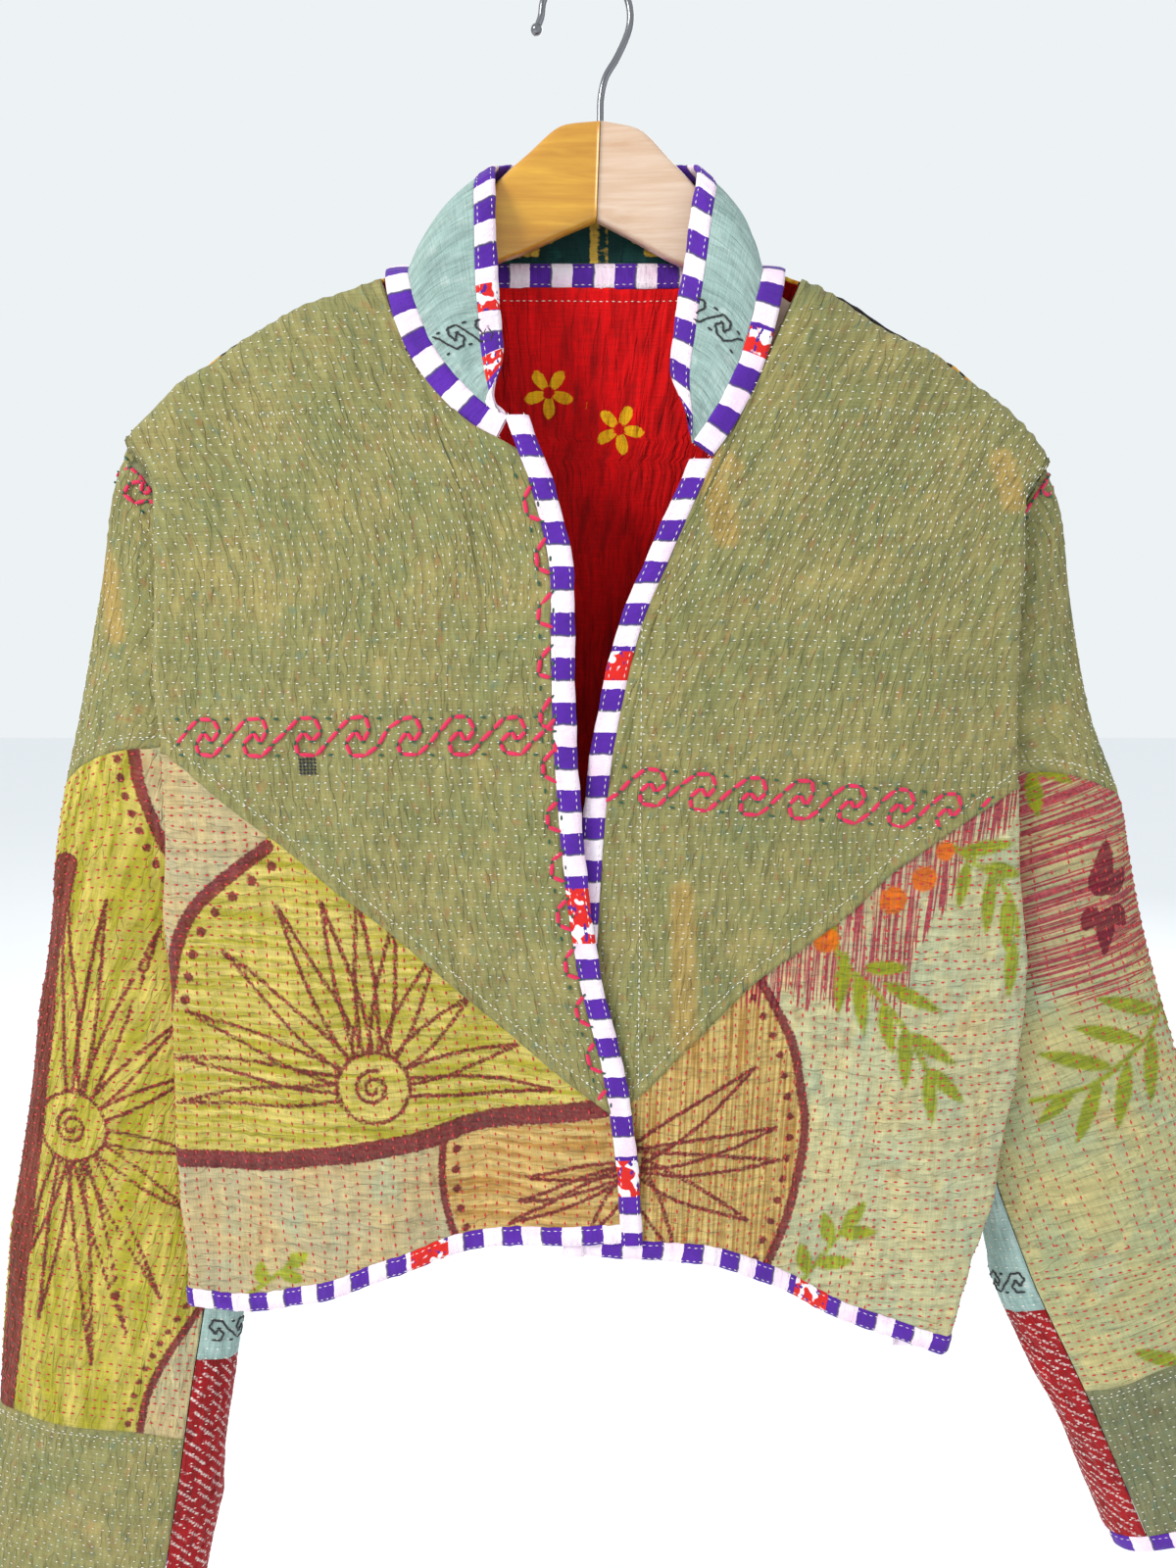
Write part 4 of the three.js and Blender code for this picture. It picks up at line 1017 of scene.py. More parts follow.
def worn_patch(*lines):
    """Faded places on plain cloth, each along a line with its half width."""
    def fields(at, _uv):
        return {"patch": least(*[stroke(at, np.array(line, float), half) for line, half in lines])}
    return fields


def stepped_cross(at, centre, cell):
    """A cross built of squares, as in cross-stitch."""
    x, z = np.abs(at[:, 0] - centre[0]), np.abs(at[:, 1] - centre[1])
    boxes = [(4.5, 1.5), (1.5, 4.5), (3.0, 3.0)]
    return least(*[np.maximum(x - w * cell, z - h * cell) for w, h in boxes])


def keep_piece(made, node):
    """The piece rides the jacket's one body and stands for its node, which it hides."""
    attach(made, "root")
    if node:
        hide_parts(node)
    return made


# Stitches
STRAY, UNEVEN = 0.1, 0.18  # how far stitches turn from their line, and how much their lengths differ
def stitch_tree(name, single):
    """Lays a spindle of thread on every pitch of a line, or on every edge when each edge is one stitch."""
    tree = bpy.data.node_groups.new(name, "GeometryNodeTree")
    sockets = [("Geometry", "Geometry"), ("Pitch", "Float"), ("Length", "Float"), ("Width", "Float"),
               ("Height", "Float"), ("Slack", "Float"), ("Sides", "Int"), ("Rings", "Int"), ("Seed", "Int"),
               ("Thread", "Material")]
    for label, kind in sockets:
        tree.interface.new_socket(label, in_out="INPUT", socket_type="NodeSocket" + kind)
    tree.interface.new_socket("Geometry", in_out="OUTPUT", socket_type="NodeSocketGeometry")
    given = add(tree, "NodeGroupInput").outputs
    if single:
        ends = add(tree, "GeometryNodeInputMeshEdgeVertices").outputs
        span = add(tree, "ShaderNodeVectorMath", {0: ends["Position 2"], 1: ends["Position 1"]},
                   operation="SUBTRACT")
        kept = add(tree, "GeometryNodeCaptureAttribute", domain="EDGE")
        kept.capture_items.new("VECTOR", "way")
        tree.links.new(given["Geometry"], kept.inputs["Geometry"])
        tree.links.new(span.outputs[0], kept.inputs["way"])
        middles = add(tree, "GeometryNodeMeshToPoints", {"Mesh": kept.outputs["Geometry"]}, mode="EDGES")
        points, way = middles.outputs[0], kept.outputs["way"]
        length = add(tree, "ShaderNodeVectorMath", {0: way}, operation="LENGTH").outputs["Value"]
        way = add(tree, "ShaderNodeVectorMath", {0: way}, operation="NORMALIZE").outputs[0]
    else:
        line = add(tree, "GeometryNodeMeshToCurve", {0: given["Geometry"]}).outputs[0]
        spread = add(tree, "GeometryNodeCurveToPoints", {"Curve": line, "Length": given["Pitch"]},
                     mode="LENGTH")
        points, way = spread.outputs["Points"], spread.outputs["Tangent"]
        length = given["Length"]
    up = add(tree, "GeometryNodeInputNamedAttribute", {"Name": "up"}, data_type="FLOAT_VECTOR").outputs[0]
    stray = add(tree, "FunctionNodeRandomValue", {"Seed": given["Seed"], 0: [-STRAY] * 3, 1: [STRAY] * 3},
                data_type="FLOAT_VECTOR")
    drift = add(tree, "ShaderNodeVectorMath", {0: way, 1: stray.outputs[0]}, operation="ADD").outputs[0]
    turned = add(tree, "FunctionNodeAxesToRotation", {0: drift, 1: up}, primary_axis="X", secondary_axis="Z")
    seed_b = add(tree, "ShaderNodeMath", {0: given["Seed"], 1: 7.0}, operation="ADD").outputs[0]
    along = add(tree, "FunctionNodeRandomValue", {"Seed": seed_b, 2: -1.0, 3: 1.0},
                data_type="FLOAT").outputs[1]
    slip = add(tree, "ShaderNodeMath", {0: along, 1: given["Slack"]}, operation="MULTIPLY").outputs[0]
    offset = add(tree, "ShaderNodeVectorMath", {0: way, "Scale": slip}, operation="SCALE").outputs[0]
    placed = add(tree, "GeometryNodeSetPosition", {"Geometry": points, "Offset": offset}).outputs[0]
    share = 0.54 if single else 0.5  # single stitches run a little into each other
    half = add(tree, "ShaderNodeMath", {0: length, 1: share}, operation="MULTIPLY").outputs[0]
    if not single:
        uneven = add(tree, "ShaderNodeMath", {0: along, 1: UNEVEN, 2: 1.0},
                     operation="MULTIPLY_ADD").outputs[0]
        half = add(tree, "ShaderNodeMath", {0: half, 1: uneven}, operation="MULTIPLY").outputs[0]
    half_width = add(tree, "ShaderNodeMath", {0: given["Width"], 1: 0.5}, operation="MULTIPLY").outputs[0]
    half_height = add(tree, "ShaderNodeMath", {0: given["Height"], 1: 0.5}, operation="MULTIPLY").outputs[0]
    scale = add(tree, "ShaderNodeCombineXYZ", {0: half, 1: half_width, 2: half_height}).outputs[0]
    ball = add(tree, "GeometryNodeMeshUVSphere", {"Segments": given["Sides"], "Rings": given["Rings"],
                                                  "Radius": 1.0})
    laid = add(tree, "GeometryNodeTransform", {"Geometry": ball.outputs[0], "Rotation": (0, math.pi / 2, 0)})
    copies = add(tree, "GeometryNodeInstanceOnPoints", {"Points": placed, "Instance": laid.outputs[0],
                                                        "Rotation": turned.outputs[0], "Scale": scale})
    real = add(tree, "GeometryNodeRealizeInstances", {0: copies.outputs[0]})
    rounded = add(tree, "GeometryNodeSetShadeSmooth", {0: real.outputs[0]}).outputs[0]
    done = add(tree, "GeometryNodeSetMaterial", {"Geometry": rounded, "Material": given["Thread"]})
    add(tree, "NodeGroupOutput", {0: done.outputs[0]})
    return tree
    return tree


RUNNING = stitch_tree("running stitch", False)
SINGLE = stitch_tree("single stitches", True)

# A plain stitch in millimetres, and the sides and rings of its thread
PLAIN_STITCH = {"Pitch": 5.0, "Length": 1.6, "Width": 0.8, "Height": 0.7, "Slack": 0.4}
PLAIN_THREAD = {"Sides": 4, "Rings": 2}
# What each kind of stitch has of its own
QUILTING = {"Pitch": 4.8, "Length": 1.9, "Width": 0.6, "Height": 0.55, "Slack": 0.8}
RED_QUILTING = {"Pitch": 5.2, "Length": 2.7, "Width": 1.15, "Height": 0.8}
BACK_QUILTING = {"Pitch": 6.0, "Length": 2.2, "Height": 0.6}
SLEEVE_BACK_QUILTING = {"Pitch": 5.6, "Length": 2.0, "Width": 0.75, "Height": 0.6}
MACHINED = {"Pitch": 3.3, "Length": 2.5, "Width": 0.6, "Height": 0.5, "Slack": 0.1}
NECK_MACHINED = {**MACHINED, "Pitch": 3.2, "Length": 2.3}
EDGE_STITCH = {"Pitch": 3.4, "Length": 2.5, "Width": 0.5, "Height": 0.45, "Slack": 0.05}
THICK_WAVE = {"Width": 2.3, "Height": 1.4, "Slack": 0.1, "Sides": 8, "Rings": 5}
GREEN_WAVE = {"Width": 1.3, "Height": 1.3, "Slack": 0.2, "Sides": 6, "Rings": 4}
BLACK_WAVE = {"Width": 1.3, "Height": 1.0, "Slack": 0.05, "Sides": 6, "Rings": 4}
DARNING = {"Width": 1.25, "Height": 0.9, "Slack": 0.1}


class Guide:
    """Lines on the cloth that a needle follows."""

    def __init__(self):
        self.points, self.ups, self.edges, self.count = [], [], [], 0

    def line(self, points, ups, keep=None):
        """points is rows of points; each row is one line, broken where keep is false."""
        if points.ndim == 2:
            points, ups = points[None], ups[None]
        index = np.arange(points.shape[0] * points.shape[1]).reshape(points.shape[:2])
        keep = np.ones(index.shape, bool) if keep is None else keep
        both = keep[:, :-1] & keep[:, 1:]
        edges = np.stack([index[:, :-1][both], index[:, 1:][both]], -1)
        used, edges = np.unique(edges, return_inverse=True)
        self.points.append(points.reshape(-1, 3)[used])
        self.ups.append(ups.reshape(-1, 3)[used])
        self.edges.append(edges.reshape(-1, 2) + self.count)
        self.count += len(used)
        return self

    def sew(self, name, tree, material, slot, seed=1, **sizes):
        """The stitches on these lines, as a piece of the jacket."""
        points, ups, edges = (np.concatenate(x) for x in (self.points, self.ups, self.edges))
        mesh = bpy.data.meshes.new(name + "_guide")
        mesh.from_pydata((points * MM).tolist(), edges.tolist(), [])
        up = mesh.attributes.new("up", "FLOAT_VECTOR", "POINT")
        up.data.foreach_set("vector", ups.astype(np.float32).ravel())
        guide = bpy.data.objects.new(name + "_guide", mesh)
        bpy.context.scene.collection.objects.link(guide)
        modifier = guide.modifiers.new("stitches", "NODES")
        modifier.node_group = tree
        values = {key: sizes.get(key, plain) * MM for key, plain in PLAIN_STITCH.items()}
        values.update({key: sizes.get(key, plain) for key, plain in PLAIN_THREAD.items()})
        values.update({"Seed": seed, "Thread": material})
        for item in tree.interface.items_tree:
            if item.in_out == "INPUT" and item.name in values:
                modifier[item.identifier] = values[item.name]
        graph = bpy.context.evaluated_depsgraph_get()
        made = bpy.data.meshes.new_from_object(guide.evaluated_get(graph), depsgraph=graph)
        bpy.data.objects.remove(guide)
        piece = bpy.data.objects.new(name, made)
        bpy.context.scene.collection.objects.link(piece)
        return keep_piece(piece, None)


def front_u(side, x, z):
    edge, centre = front_span(side, z)
    return (x - edge) / (centre - edge) * FLAT


def rows_of(across, along, seed):
    """A grid of rows, each started a little further along, so that stitches don't line up."""
    rng = np.random.default_rng(seed)
    step = (along[-1] - along[0]) / (len(along) - 1)
    a, b = np.meshgrid(along, across)
    return a + rng.uniform(0, 3, len(across))[:, None] * step, b


# One turn of the wave border, in millimetres: the stitches that make its running hook
HOOK_UNIT = [(0, 0), (5.5, 5.5), (11.4, 12.2), (17.7, 17.7), (25.3, 18.5), (28.2, 12.2), (24, 6.7),
             (20.7, 11.4), (16, 5.9), (17.3, 0.4), (25.3, 0)]
HOOK_PITCH, HOOK_HEIGHT, HOOK_GAP = 25.3, 18.1, 7.3  # HOOK_GAP is where the dark stitches between lie
HAND_SHAKE, DARK_LONG, DARK_SHORT = 0.35, 1.3, 1.25
BORDER_HIDDEN, TUCK = 12.0, -0.004  # how far the upright border and its stitches go under the binding


def hook_border(start, end, hand=1, scale=1.0):
    """The border's stitches on a flat panel: pink ones end to end, dark ones at the joints and between."""
    start, end = np.array(start, float), np.array(end, float)
    way = unit(end - start)
    up = hand * np.array([-way[1], way[0]])
    count = max(1, round(np.linalg.norm(end - start) / (HOOK_PITCH * scale)))
    pitch = np.linalg.norm(end - start) / count
    rng = np.random.default_rng(11)
    long, short = [], []
    for k in range(count):
        turns = np.array(HOOK_UNIT, float) * (pitch / HOOK_PITCH, scale)
        turns = turns + rng.normal(0, HAND_SHAKE, turns.shape)
        turns[0], turns[-1] = (0, 0), (pitch, 0)
        at = start + (turns[:, :1] + k * pitch) * way + turns[:, 1:] * up
        long.append(np.stack([at[:-1], at[1:]], 1))
        heading = unit(at[2:] - at[:-2])
        short.append(np.stack([at[1:-1] - DARK_SHORT * heading, at[1:-1] + DARK_SHORT * heading], 1))
        for level in (0.2, HOOK_HEIGHT * scale):
            middle = start + (k + HOOK_GAP / HOOK_PITCH) * pitch * way + level * up
            short.append(np.stack([middle - DARK_LONG * way, middle + DARK_LONG * way])[None])
    return np.concatenate(long), np.concatenate(short)


def tucked(side, parts):
    """Stitches of which only a part shows end just under the binding."""
    u = front_u(side, parts[..., 0], parts[..., 1])
    for near, far in ((0, 1), (1, 0)):
        under = (u[:, near] > 0.004) & (u[:, far] < TUCK)
        share = ((u[:, near] - TUCK) / np.where(under, u[:, near] - u[:, far], 1))[:, None]
        parts[:, far] = np.where(under[:, None], mix(parts[:, near], parts[:, far], share), parts[:, far])
    return parts


def on_sleeve(side, flat, lift):
    """Places on the front of a sleeve, from flat (x, z) pairs."""
    sheet = SHEETS["sleeve_" + side.name]
    t, v = np.meshgrid(np.linspace(0.02, 0.98, 97), np.linspace(0.02, 0.9, 180))
    known = sheet.surface(t, v)[..., [0, 2]].reshape(-1, 2)
    nearest = np.argmin(((flat.reshape(-1, 1, 2) - known) ** 2).sum(-1), axis=1)
    points, up = sheet.at(t.ravel()[nearest], v.ravel()[nearest], CLOTH / 2 + lift)
    return points.reshape(*flat.shape[:-1], 3), up.reshape(*flat.shape[:-1], 3)


def darn(centre, radius, pitch=1.7):
    """A round mend: short threads woven across each other."""
    steps = np.arange(-radius, radius + 0.1, pitch)
    a, b = (g.ravel() for g in np.meshgrid(steps, steps))
    inside = np.hypot(a, b) < radius
    a, b = a[inside], b[inside]
    middle = np.stack([centre[0] + a, centre[1] + b], -1)
    level, upright = np.array([pitch * 0.62, 0]), np.array([0, pitch * 0.62])
    return np.concatenate([np.stack([middle - level, middle + level], 1),
                           np.stack([middle - upright, middle + upright], 1)])


def on_front(side, flat, lift):
    """Places on the outside of a front panel, from flat (x, z) pairs."""
    x, z = flat[..., 0], flat[..., 1]
    u = front_u(side, x, z)
    points, up = SHEETS["front_" + side.name].at(u, z, CLOTH / 2 + lift)
    return points, up, u


# Bound edges: half of the tape's section, as places inwards from its fold and out from the cloth
TAPE_HALF = [(-0.7, 1.15), (0.5, 1.6), (2.2, 1.82), (4.5, 1.7), (7.4, 1.68), (9.2, 1.3), (10.2, 0.55)]
TAPE_SECTION = [*TAPE_HALF, (10.45, 0.0), *[(out, -thick) for out, thick in reversed(TAPE_HALF)]]


def tape(name, points, ups, inside, material, flowered=(), closed=False):
    """Striped cloth folded over an edge; flowered are spans along it, in millimetres."""
    out = points - inside
    out = unit(out - ups * np.sum(out * ups, -1, keepdims=True))
    run = run_along(points)
    rng = np.random.default_rng(len(points))
    puff = 1 + 0.07 * np.sin(run / 3.1 + rng.uniform(0, 6)) + 0.05 * np.sin(run / 1.7)
    pull = 0.22 * np.sin(run / 6.1 + rng.uniform(0, 6)) + 0.12 * np.sin(run / 2.3)
    section = np.array(TAPE_SECTION)
    grow = np.clip(section[:, 0] / 6, 0, 1)
    rings = (points[:, None] + out[:, None] * (section[:, 0] + pull[:, None] * grow)[..., None]
             + ups[:, None] * (section[:, 1] * puff[:, None])[..., None])
    made = loft(name, rings, material, closed, (run, run_along(section)))
    chosen = np.zeros(len(run))
    for low, high in flowered:
        chosen[(run >= low) & (run <= high)] = 1
    mark_flowered(made, chosen, len(section))
    lines = [(points + out * away + ups * (lift * puff)[:, None], ups)
             for away, lift in ((1.1, 1.75), (8.6, 1.5))]
    return made, lines


def even(low, high, step):
    return np.linspace(low, high, max(2, round(abs(high - low) / step) + 1))


# Finishes
OLIVE_FLECKS = [("#667F6C", 3, 7, 0.07), ("#9C6F47", 4, 9, 0.065), ("#A8985E", 30, 44, 0.07)]
WORN_PATCH = ("patch", "#B3995C", "#A1874B", 2.0)
OLIVE = cloth("olive_mulmul_cotton", ("#958C59", "#848454"), OLIVE_FLECKS)
OLIVE_WORN = cloth("olive_mulmul_cotton_worn", ("#958C59", "#848454"), OLIVE_FLECKS, [WORN_PATCH])
OLIVE_COOL = cloth("green_grey_mulmul_cotton", ("#7C7B58", "#6C7252"),
                   [("#5C7564", 4, 8, 0.09), ("#836D4B", 5, 9, 0.06), ("#8E8760", 30, 44, 0.08)])
CREAM = ("#BEA878", "#B1A682")
CREAM_FLECKS = [("#A3AF8F", 22, 40, 0.07), ("#CDBB82", 9, 14, 0.08), ("#AE8D60", 14, 18, 0.06)]
INK = ("ink", "#620B22", "#761429", 0.45)
LIMED = cloth("printed_cotton_lime", CREAM, CREAM_FLECKS,
              [("lime", "#A2991C", "#CBB962", 1.0), ("gold", "#AB7A35", "#CFB06C", 1.2),
               ("leaf", "#9AA018", "#86910F", 0.8), INK], ripple=(16, 4.2), streaks=(46, 3.6))
LIMED_SLEEVE = cloth("printed_cotton_lime_sleeve", CREAM, CREAM_FLECKS,
                     [("lime", "#A1991A", "#C4B352", 1.0), INK], ripple=(4.2, 15), streaks=(5, 60))
GOLDEN = cloth("printed_cotton_leaves", ("#C3B988", "#B2B590"), CREAM_FLECKS,
               [("gold", "#A6732D", "#CDB46E", 1.2), ("lines", "#8E1D3C", "#AC364C", 1.5),
                ("leaf", "#969D12", "#7C860C", 0.9), ("spot", "#DD6D06", "#C65A05", 0.8), INK],
               ripple=(14, 4.4), streaks=(1.5, 60))
GOLDEN_SLEEVE = cloth("printed_cotton_leaves_sleeve", ("#B8AE78", "#A5A97E"), CREAM_FLECKS,
                      [("lines", "#8A1C38", "#AC364C", 1.5), ("leaf", "#8D9512", "#747E0C", 0.9), INK],
                      ripple=(15, 4.4), streaks=(70, 1.6))
PLAIN_INSIDE = cloth("unprinted_cotton_lining", ("#CDBD84", "#C0B88A"), CREAM_FLECKS)
AQUA = cloth("aqua_mulmul_cotton", ("#A2B9B3", "#94AEA8"),
             [("#BACAC5", 6, 14, 0.08), ("#83A19A", 8, 22, 0.07)], ripple=(3.4, 26), relief=0.6)
RED = cloth("red_block_printed_cotton", ("#A01017", "#8C0B12"), [("#6E080D", 12, 16, 0.08)],
            [("strokes", "#E2CFCA", "#D0B8B1", 0.4)], ripple=(4.2, 18))
RED_FLOWERED = cloth("red_cotton_yellow_flowers", ("#E8070D", "#CF050A"), [("#A00408", 5, 30, 0.12)],
                     [("flower", "#FFC81A", "#F0AC10", 0.35)], ripple=(4.2, 30), relief=1.1)
BLACK_PRINT = cloth("black_cotton_orange_print", ("#1B191B", "#262124"), [("#38302C", 8, 12, 0.06)],
                    [("diamonds", "#E3B02C", "#D98A18", 0.35), ("bloom", "#DB8A14", "#E8B92E", 0.35)],
                    ripple=(4.4, 16))
TEAL_CROSSES = cloth("dark_teal_cotton_crosses", ("#0F3B38", "#0B302E"), [("#1F5A50", 8, 10, 0.06)],
                     [("cross", "#E6BC4A", "#DDAE3C", 0.35), ("heart", "#C97416", "#D98A24", 0.35),
                      ("bars", "#DDB548", "#C9A244", 0.35)], ripple=(4.2, 18), streaks=(3, 3))
STRIPES = binding_cloth("striped_poplin_binding")
WHITE = thread("white_cotton_thread", "#E4E0CC", "#FBFAF2")
CRIMSON = thread("red_cotton_thread", "#B80A16", "#D41A1E")
PINK = thread("pink_cotton_thread", "#C40742", "#DB124E")
BOTTLE = thread("bottle_green_thread", "#0E3F2A", "#1C5A3C")
BLACK = thread("black_cotton_thread", "#0B0E11", "#171B1F")
DARK_WOOD = wood("varnished_lotus_wood", "#D49F2F", "#B5791A")
PALE_WOOD = wood("varnished_lotus_wood_pale", "#D9C1AD", "#C19D7E")
CHROME = steel("chromed_steel_wire")


# Front panels
GRID_PLAIN, GRID_PRINT = 2.4, 1.5
ON_CLOTH = CLOTH / 2 + 0.15  # the height of a stitch over the middle of the cloth
WHITE_ROWS, RED_ROWS_ACROSS, RED_ROWS_UP, BACK_ROWS, SLEEVE_BACK_ROWS = 4.1, 5.6, 5.7, 7.0, 6.0
WORN_FRONT = worn_patch(([(46, -214), (70, -232)], 4), ([(54, -222), (66, -262)], 6.5),
                        ([(47, -436), (50, -512)], 6), ([(198, -228), (205, -246)], 6))
FRONT_PIECES = {
    "l": (("upper", front_top, front_seam, OLIVE, OLIVE_COOL, None, "olive_cloth"),
          ("lower", front_seam, front_hem, LIMED, PLAIN_INSIDE, print_front_left, "printed_cloth")),
    "r": (("upper", front_top, front_seam, OLIVE_WORN, OLIVE_COOL, WORN_FRONT, "olive_cloth"),
          ("lower", front_seam, front_hem, GOLDEN, PLAIN_INSIDE, print_front_right, "printed_cloth")),
}
# The borders as start, end and hand; the upright one is measured from the front edge
BORDERS = {"l": [((-207, -369), (-6, -366), 1), ((0, -229), (0, -549), -1)],
           "r": [((10, -390), (206, -408), 1)]}
RED_TAPE = {"l": ([(228, 255), (372, 392)], [(92, 112)]), "r": ([(96, 112)], [(120, 140)])}
MENDS = (((-136, -373.5), 5.0), ((-83, -176), 2.8))


def on_chest(side, u, z):
    """Where the white rows run up and down instead of across."""
    return (z < -206) & (z > -302 + 10 * np.sin(u * 9)) & (u < side.chest)


def red_rows(guide, side, u, z, across):
    """Red stitches along rows on the printed cloth, only where such rows go across or up."""
    points, up = SHEETS["front_" + side.name].at(u, z, ON_CLOTH)
    x = points[..., 0]
    inside = (z < front_seam(side, u) - 3) & (z > front_hem(side, u) + 2)
    level = (x < -168) & (z > -470) if side is LEFT else x > 150
    guide.line(points, up, inside & (level if across else ~level))


for side in (LEFT, RIGHT):
    n = side.name
    sheet = SHEETS["front_" + n]
    for row, low, high, outside, inner, fields, slot in FRONT_PIECES[n]:
        printed = row == "lower"
        step = GRID_PRINT if printed else GRID_PLAIN
        u = np.unique(np.concatenate([even(0.0006, FLAT, step / 240), even(FLAT, TURNED, 0.006),
                                      even(TURNED, 0.9994, 0.012)]))
        top, bottom = low(side, u), high(side, u)
        t = np.linspace(0, 1, round(float(np.median(top - bottom)) / step) + 1)[:, None]
        # The olive cloth ends in a turned edge that stands over the printed one
        z = mix(top + (3.0 if printed else 0.0), bottom - (0.0 if printed else 0.6), t)
        over = 0.0 if printed else 0.95 * smooth(1 - (z - bottom) / 4.5)
        made = shell(f"front_{row}_{n}", sheet, np.broadcast_to(u, z.shape), z, outside, inner, fields, over)
        keep_piece(made, f"front_{row}_{n}")

    # White running stitch on the olive cloth: across below, up and down over the chest
    white, reds = Guide(), Guide()
    u, z = rows_of(np.arange(-160, -575, -WHITE_ROWS), even(0.004, 0.925, 0.004), 21)
    z = z + 0.9 * np.sin(u * 23 + z * 0.4)
    points, up = sheet.at(u, z, ON_CLOTH)
    inside = (z < front_top(side, u) - 4) & (z > front_seam(side, u) + 2) & (u > 0.012)
    white.line(points, up, inside & ~on_chest(side, u, z))
    z, u = rows_of(np.arange(0.012, 0.925, WHITE_ROWS / 245), even(-150, -330, 1.4), 22)
    u = u + 0.004 * np.sin(z * 0.11 + u * 40)
    points, up = sheet.at(u, z, ON_CLOTH)
    inside = (z < front_top(side, u) - 4) & (u > 0.012)
    white.line(points, up, inside & on_chest(side, u, z))
    white.sew(f"running_stitch_front_{n}", RUNNING, WHITE, "olive_cloth", 3, **QUILTING)

    # Red running stitch on the printed cloth
    z, u = rows_of(np.arange(0.014, 0.925, RED_ROWS_UP / 235), even(-370, -692, 1.4), 23)
    red_rows(reds, side, u + 0.005 * np.sin(z * 0.07 + u * 30), z, False)
    u, z = rows_of(np.arange(-372, -692, -RED_ROWS_ACROSS), even(0.004, 0.925, 0.004), 24)
    red_rows(reds, side, u, z + 1.2 * np.sin(u * 19 + z * 0.3), True)
    reds.sew(f"red_stitch_front_{n}", RUNNING, CRIMSON, "printed_cloth", 4, **RED_QUILTING)

    # Machine stitching beside the diagonal seam, and up the right front
    fine = Guide()
    u = even(0.01, 0.92, 0.004)
    fine.line(*sheet.at(u, front_seam(side, u) + 7.4, CLOTH / 2 + 0.3))
    if side is RIGHT:
        z = even(-297, -543, 1.5)
        fine.line(*on_front(side, np.stack([26.6 + 0 * z, z], -1), 0.2)[:2])
    fine.sew(f"topstitch_front_{n}", RUNNING, WHITE, "olive_cloth", 5, **MACHINED)

    # The wave border in pink and green
    long, short = Guide(), Guide()
    for start, end, hand in BORDERS[n]:
        stitches, dashes = hook_border(start, end, hand)
        if start[0] == 0:
            for parts in (stitches, dashes):
                parts[..., 0] += front_span(side, parts[..., 1])[0] + BORDER_HIDDEN
        for guide, parts, lift in ((long, tucked(side, stitches), 0.4), (short, dashes, 0.65)):
            points, up, u = on_front(side, parts, lift)
            sewn = (u > TUCK - 0.001) & (u < 0.93) & (parts[..., 1] > front_seam(side, u) + 1)
            guide.line(points[sewn.all(1)], up[sewn.all(1)])
    long.sew(f"wave_border_pink_{n}", SINGLE, PINK, "olive_cloth", 6, **THICK_WAVE)
    short.sew(f"wave_border_green_{n}", SINGLE, BOTTLE, "olive_cloth", 7, **GREEN_WAVE)

    if side is LEFT:
        mends = Guide()
        for centre, radius in MENDS:
            mends.line(*on_front(side, darn(centre, radius), 0.35)[:2])
        mends.sew("darned_mends", SINGLE, BLACK, "olive_cloth", 19, **DARNING)

    # Bindings of the front edge and the hem
    red_edge, red_hem = RED_TAPE[n]
    z = even(side.edge_top, float(front_hem(side, 0.0)) - TAPE_WIDTH, 2.0)
    made, lines = tape(f"binding_front_{n}", *sheet.at(0 * z, z), sheet.at(0 * z + 0.02, z)[0], STRIPES,
                       red_edge)
    keep_piece(made, f"binding_front_{n}")
    u = np.concatenate([even(0.001, FLAT, 0.0088), even(FLAT, 0.999, 0.012)[1:]])
    z = front_hem(side, u)
    made, more = tape(f"binding_hem_{n}", *sheet.at(u, z), sheet.at(u, z + 2)[0], STRIPES, red_hem)
    keep_piece(made, f"binding_hem_{n}")
    fine = Guide()
    for line in lines + more:
        fine.line(*line)
    fine.sew(f"binding_stitch_front_{n}", RUNNING, WHITE, "striped_binding", 8, **EDGE_STITCH)

# Back
sheet = SHEETS["back"]
u = even(-0.999, 0.999, GRID_PLAIN / 222)
top, bottom = back_top(u), back_hem(u)
t = np.linspace(0, 1, 205)[:, None]
z = mix(top, bottom, t)
made = shell("back", sheet, np.broadcast_to(u, z.shape), z, BLACK_PRINT, RED_FLOWERED, print_back)
keep_piece(made, "back")
pale = Guide()
u, z = rows_of(np.arange(-150, -690, -BACK_ROWS), even(-0.985, 0.985, 0.008), 31)
z = z + 1.0 * np.sin(u * 17 + z * 0.2)
pale.line(*sheet.at(u, z, ON_CLOTH), (z < back_top(u) - 4) & (z > back_hem(u) + 3))
pale.sew("running_stitch_back", RUNNING, WHITE, "dark_printed_cloth", 9, **BACK_QUILTING)
facing = Guide()
x = even(-0.3, 0.3, 0.004)
points, up = sheet.at(x, -146 + 0 * x, -CLOTH / 2 - 0.2)
facing.line(points, -up)
facing.sew("topstitch_back_neck", RUNNING, WHITE, "dark_printed_cloth", **NECK_MACHINED)
u = even(-0.985, 0.985, 0.009)
z = back_hem(u)
made, _ = tape("binding_hem_back", *sheet.at(u, z), sheet.at(u, z + 2)[0], STRIPES)
keep_piece(made, "binding_hem_back")

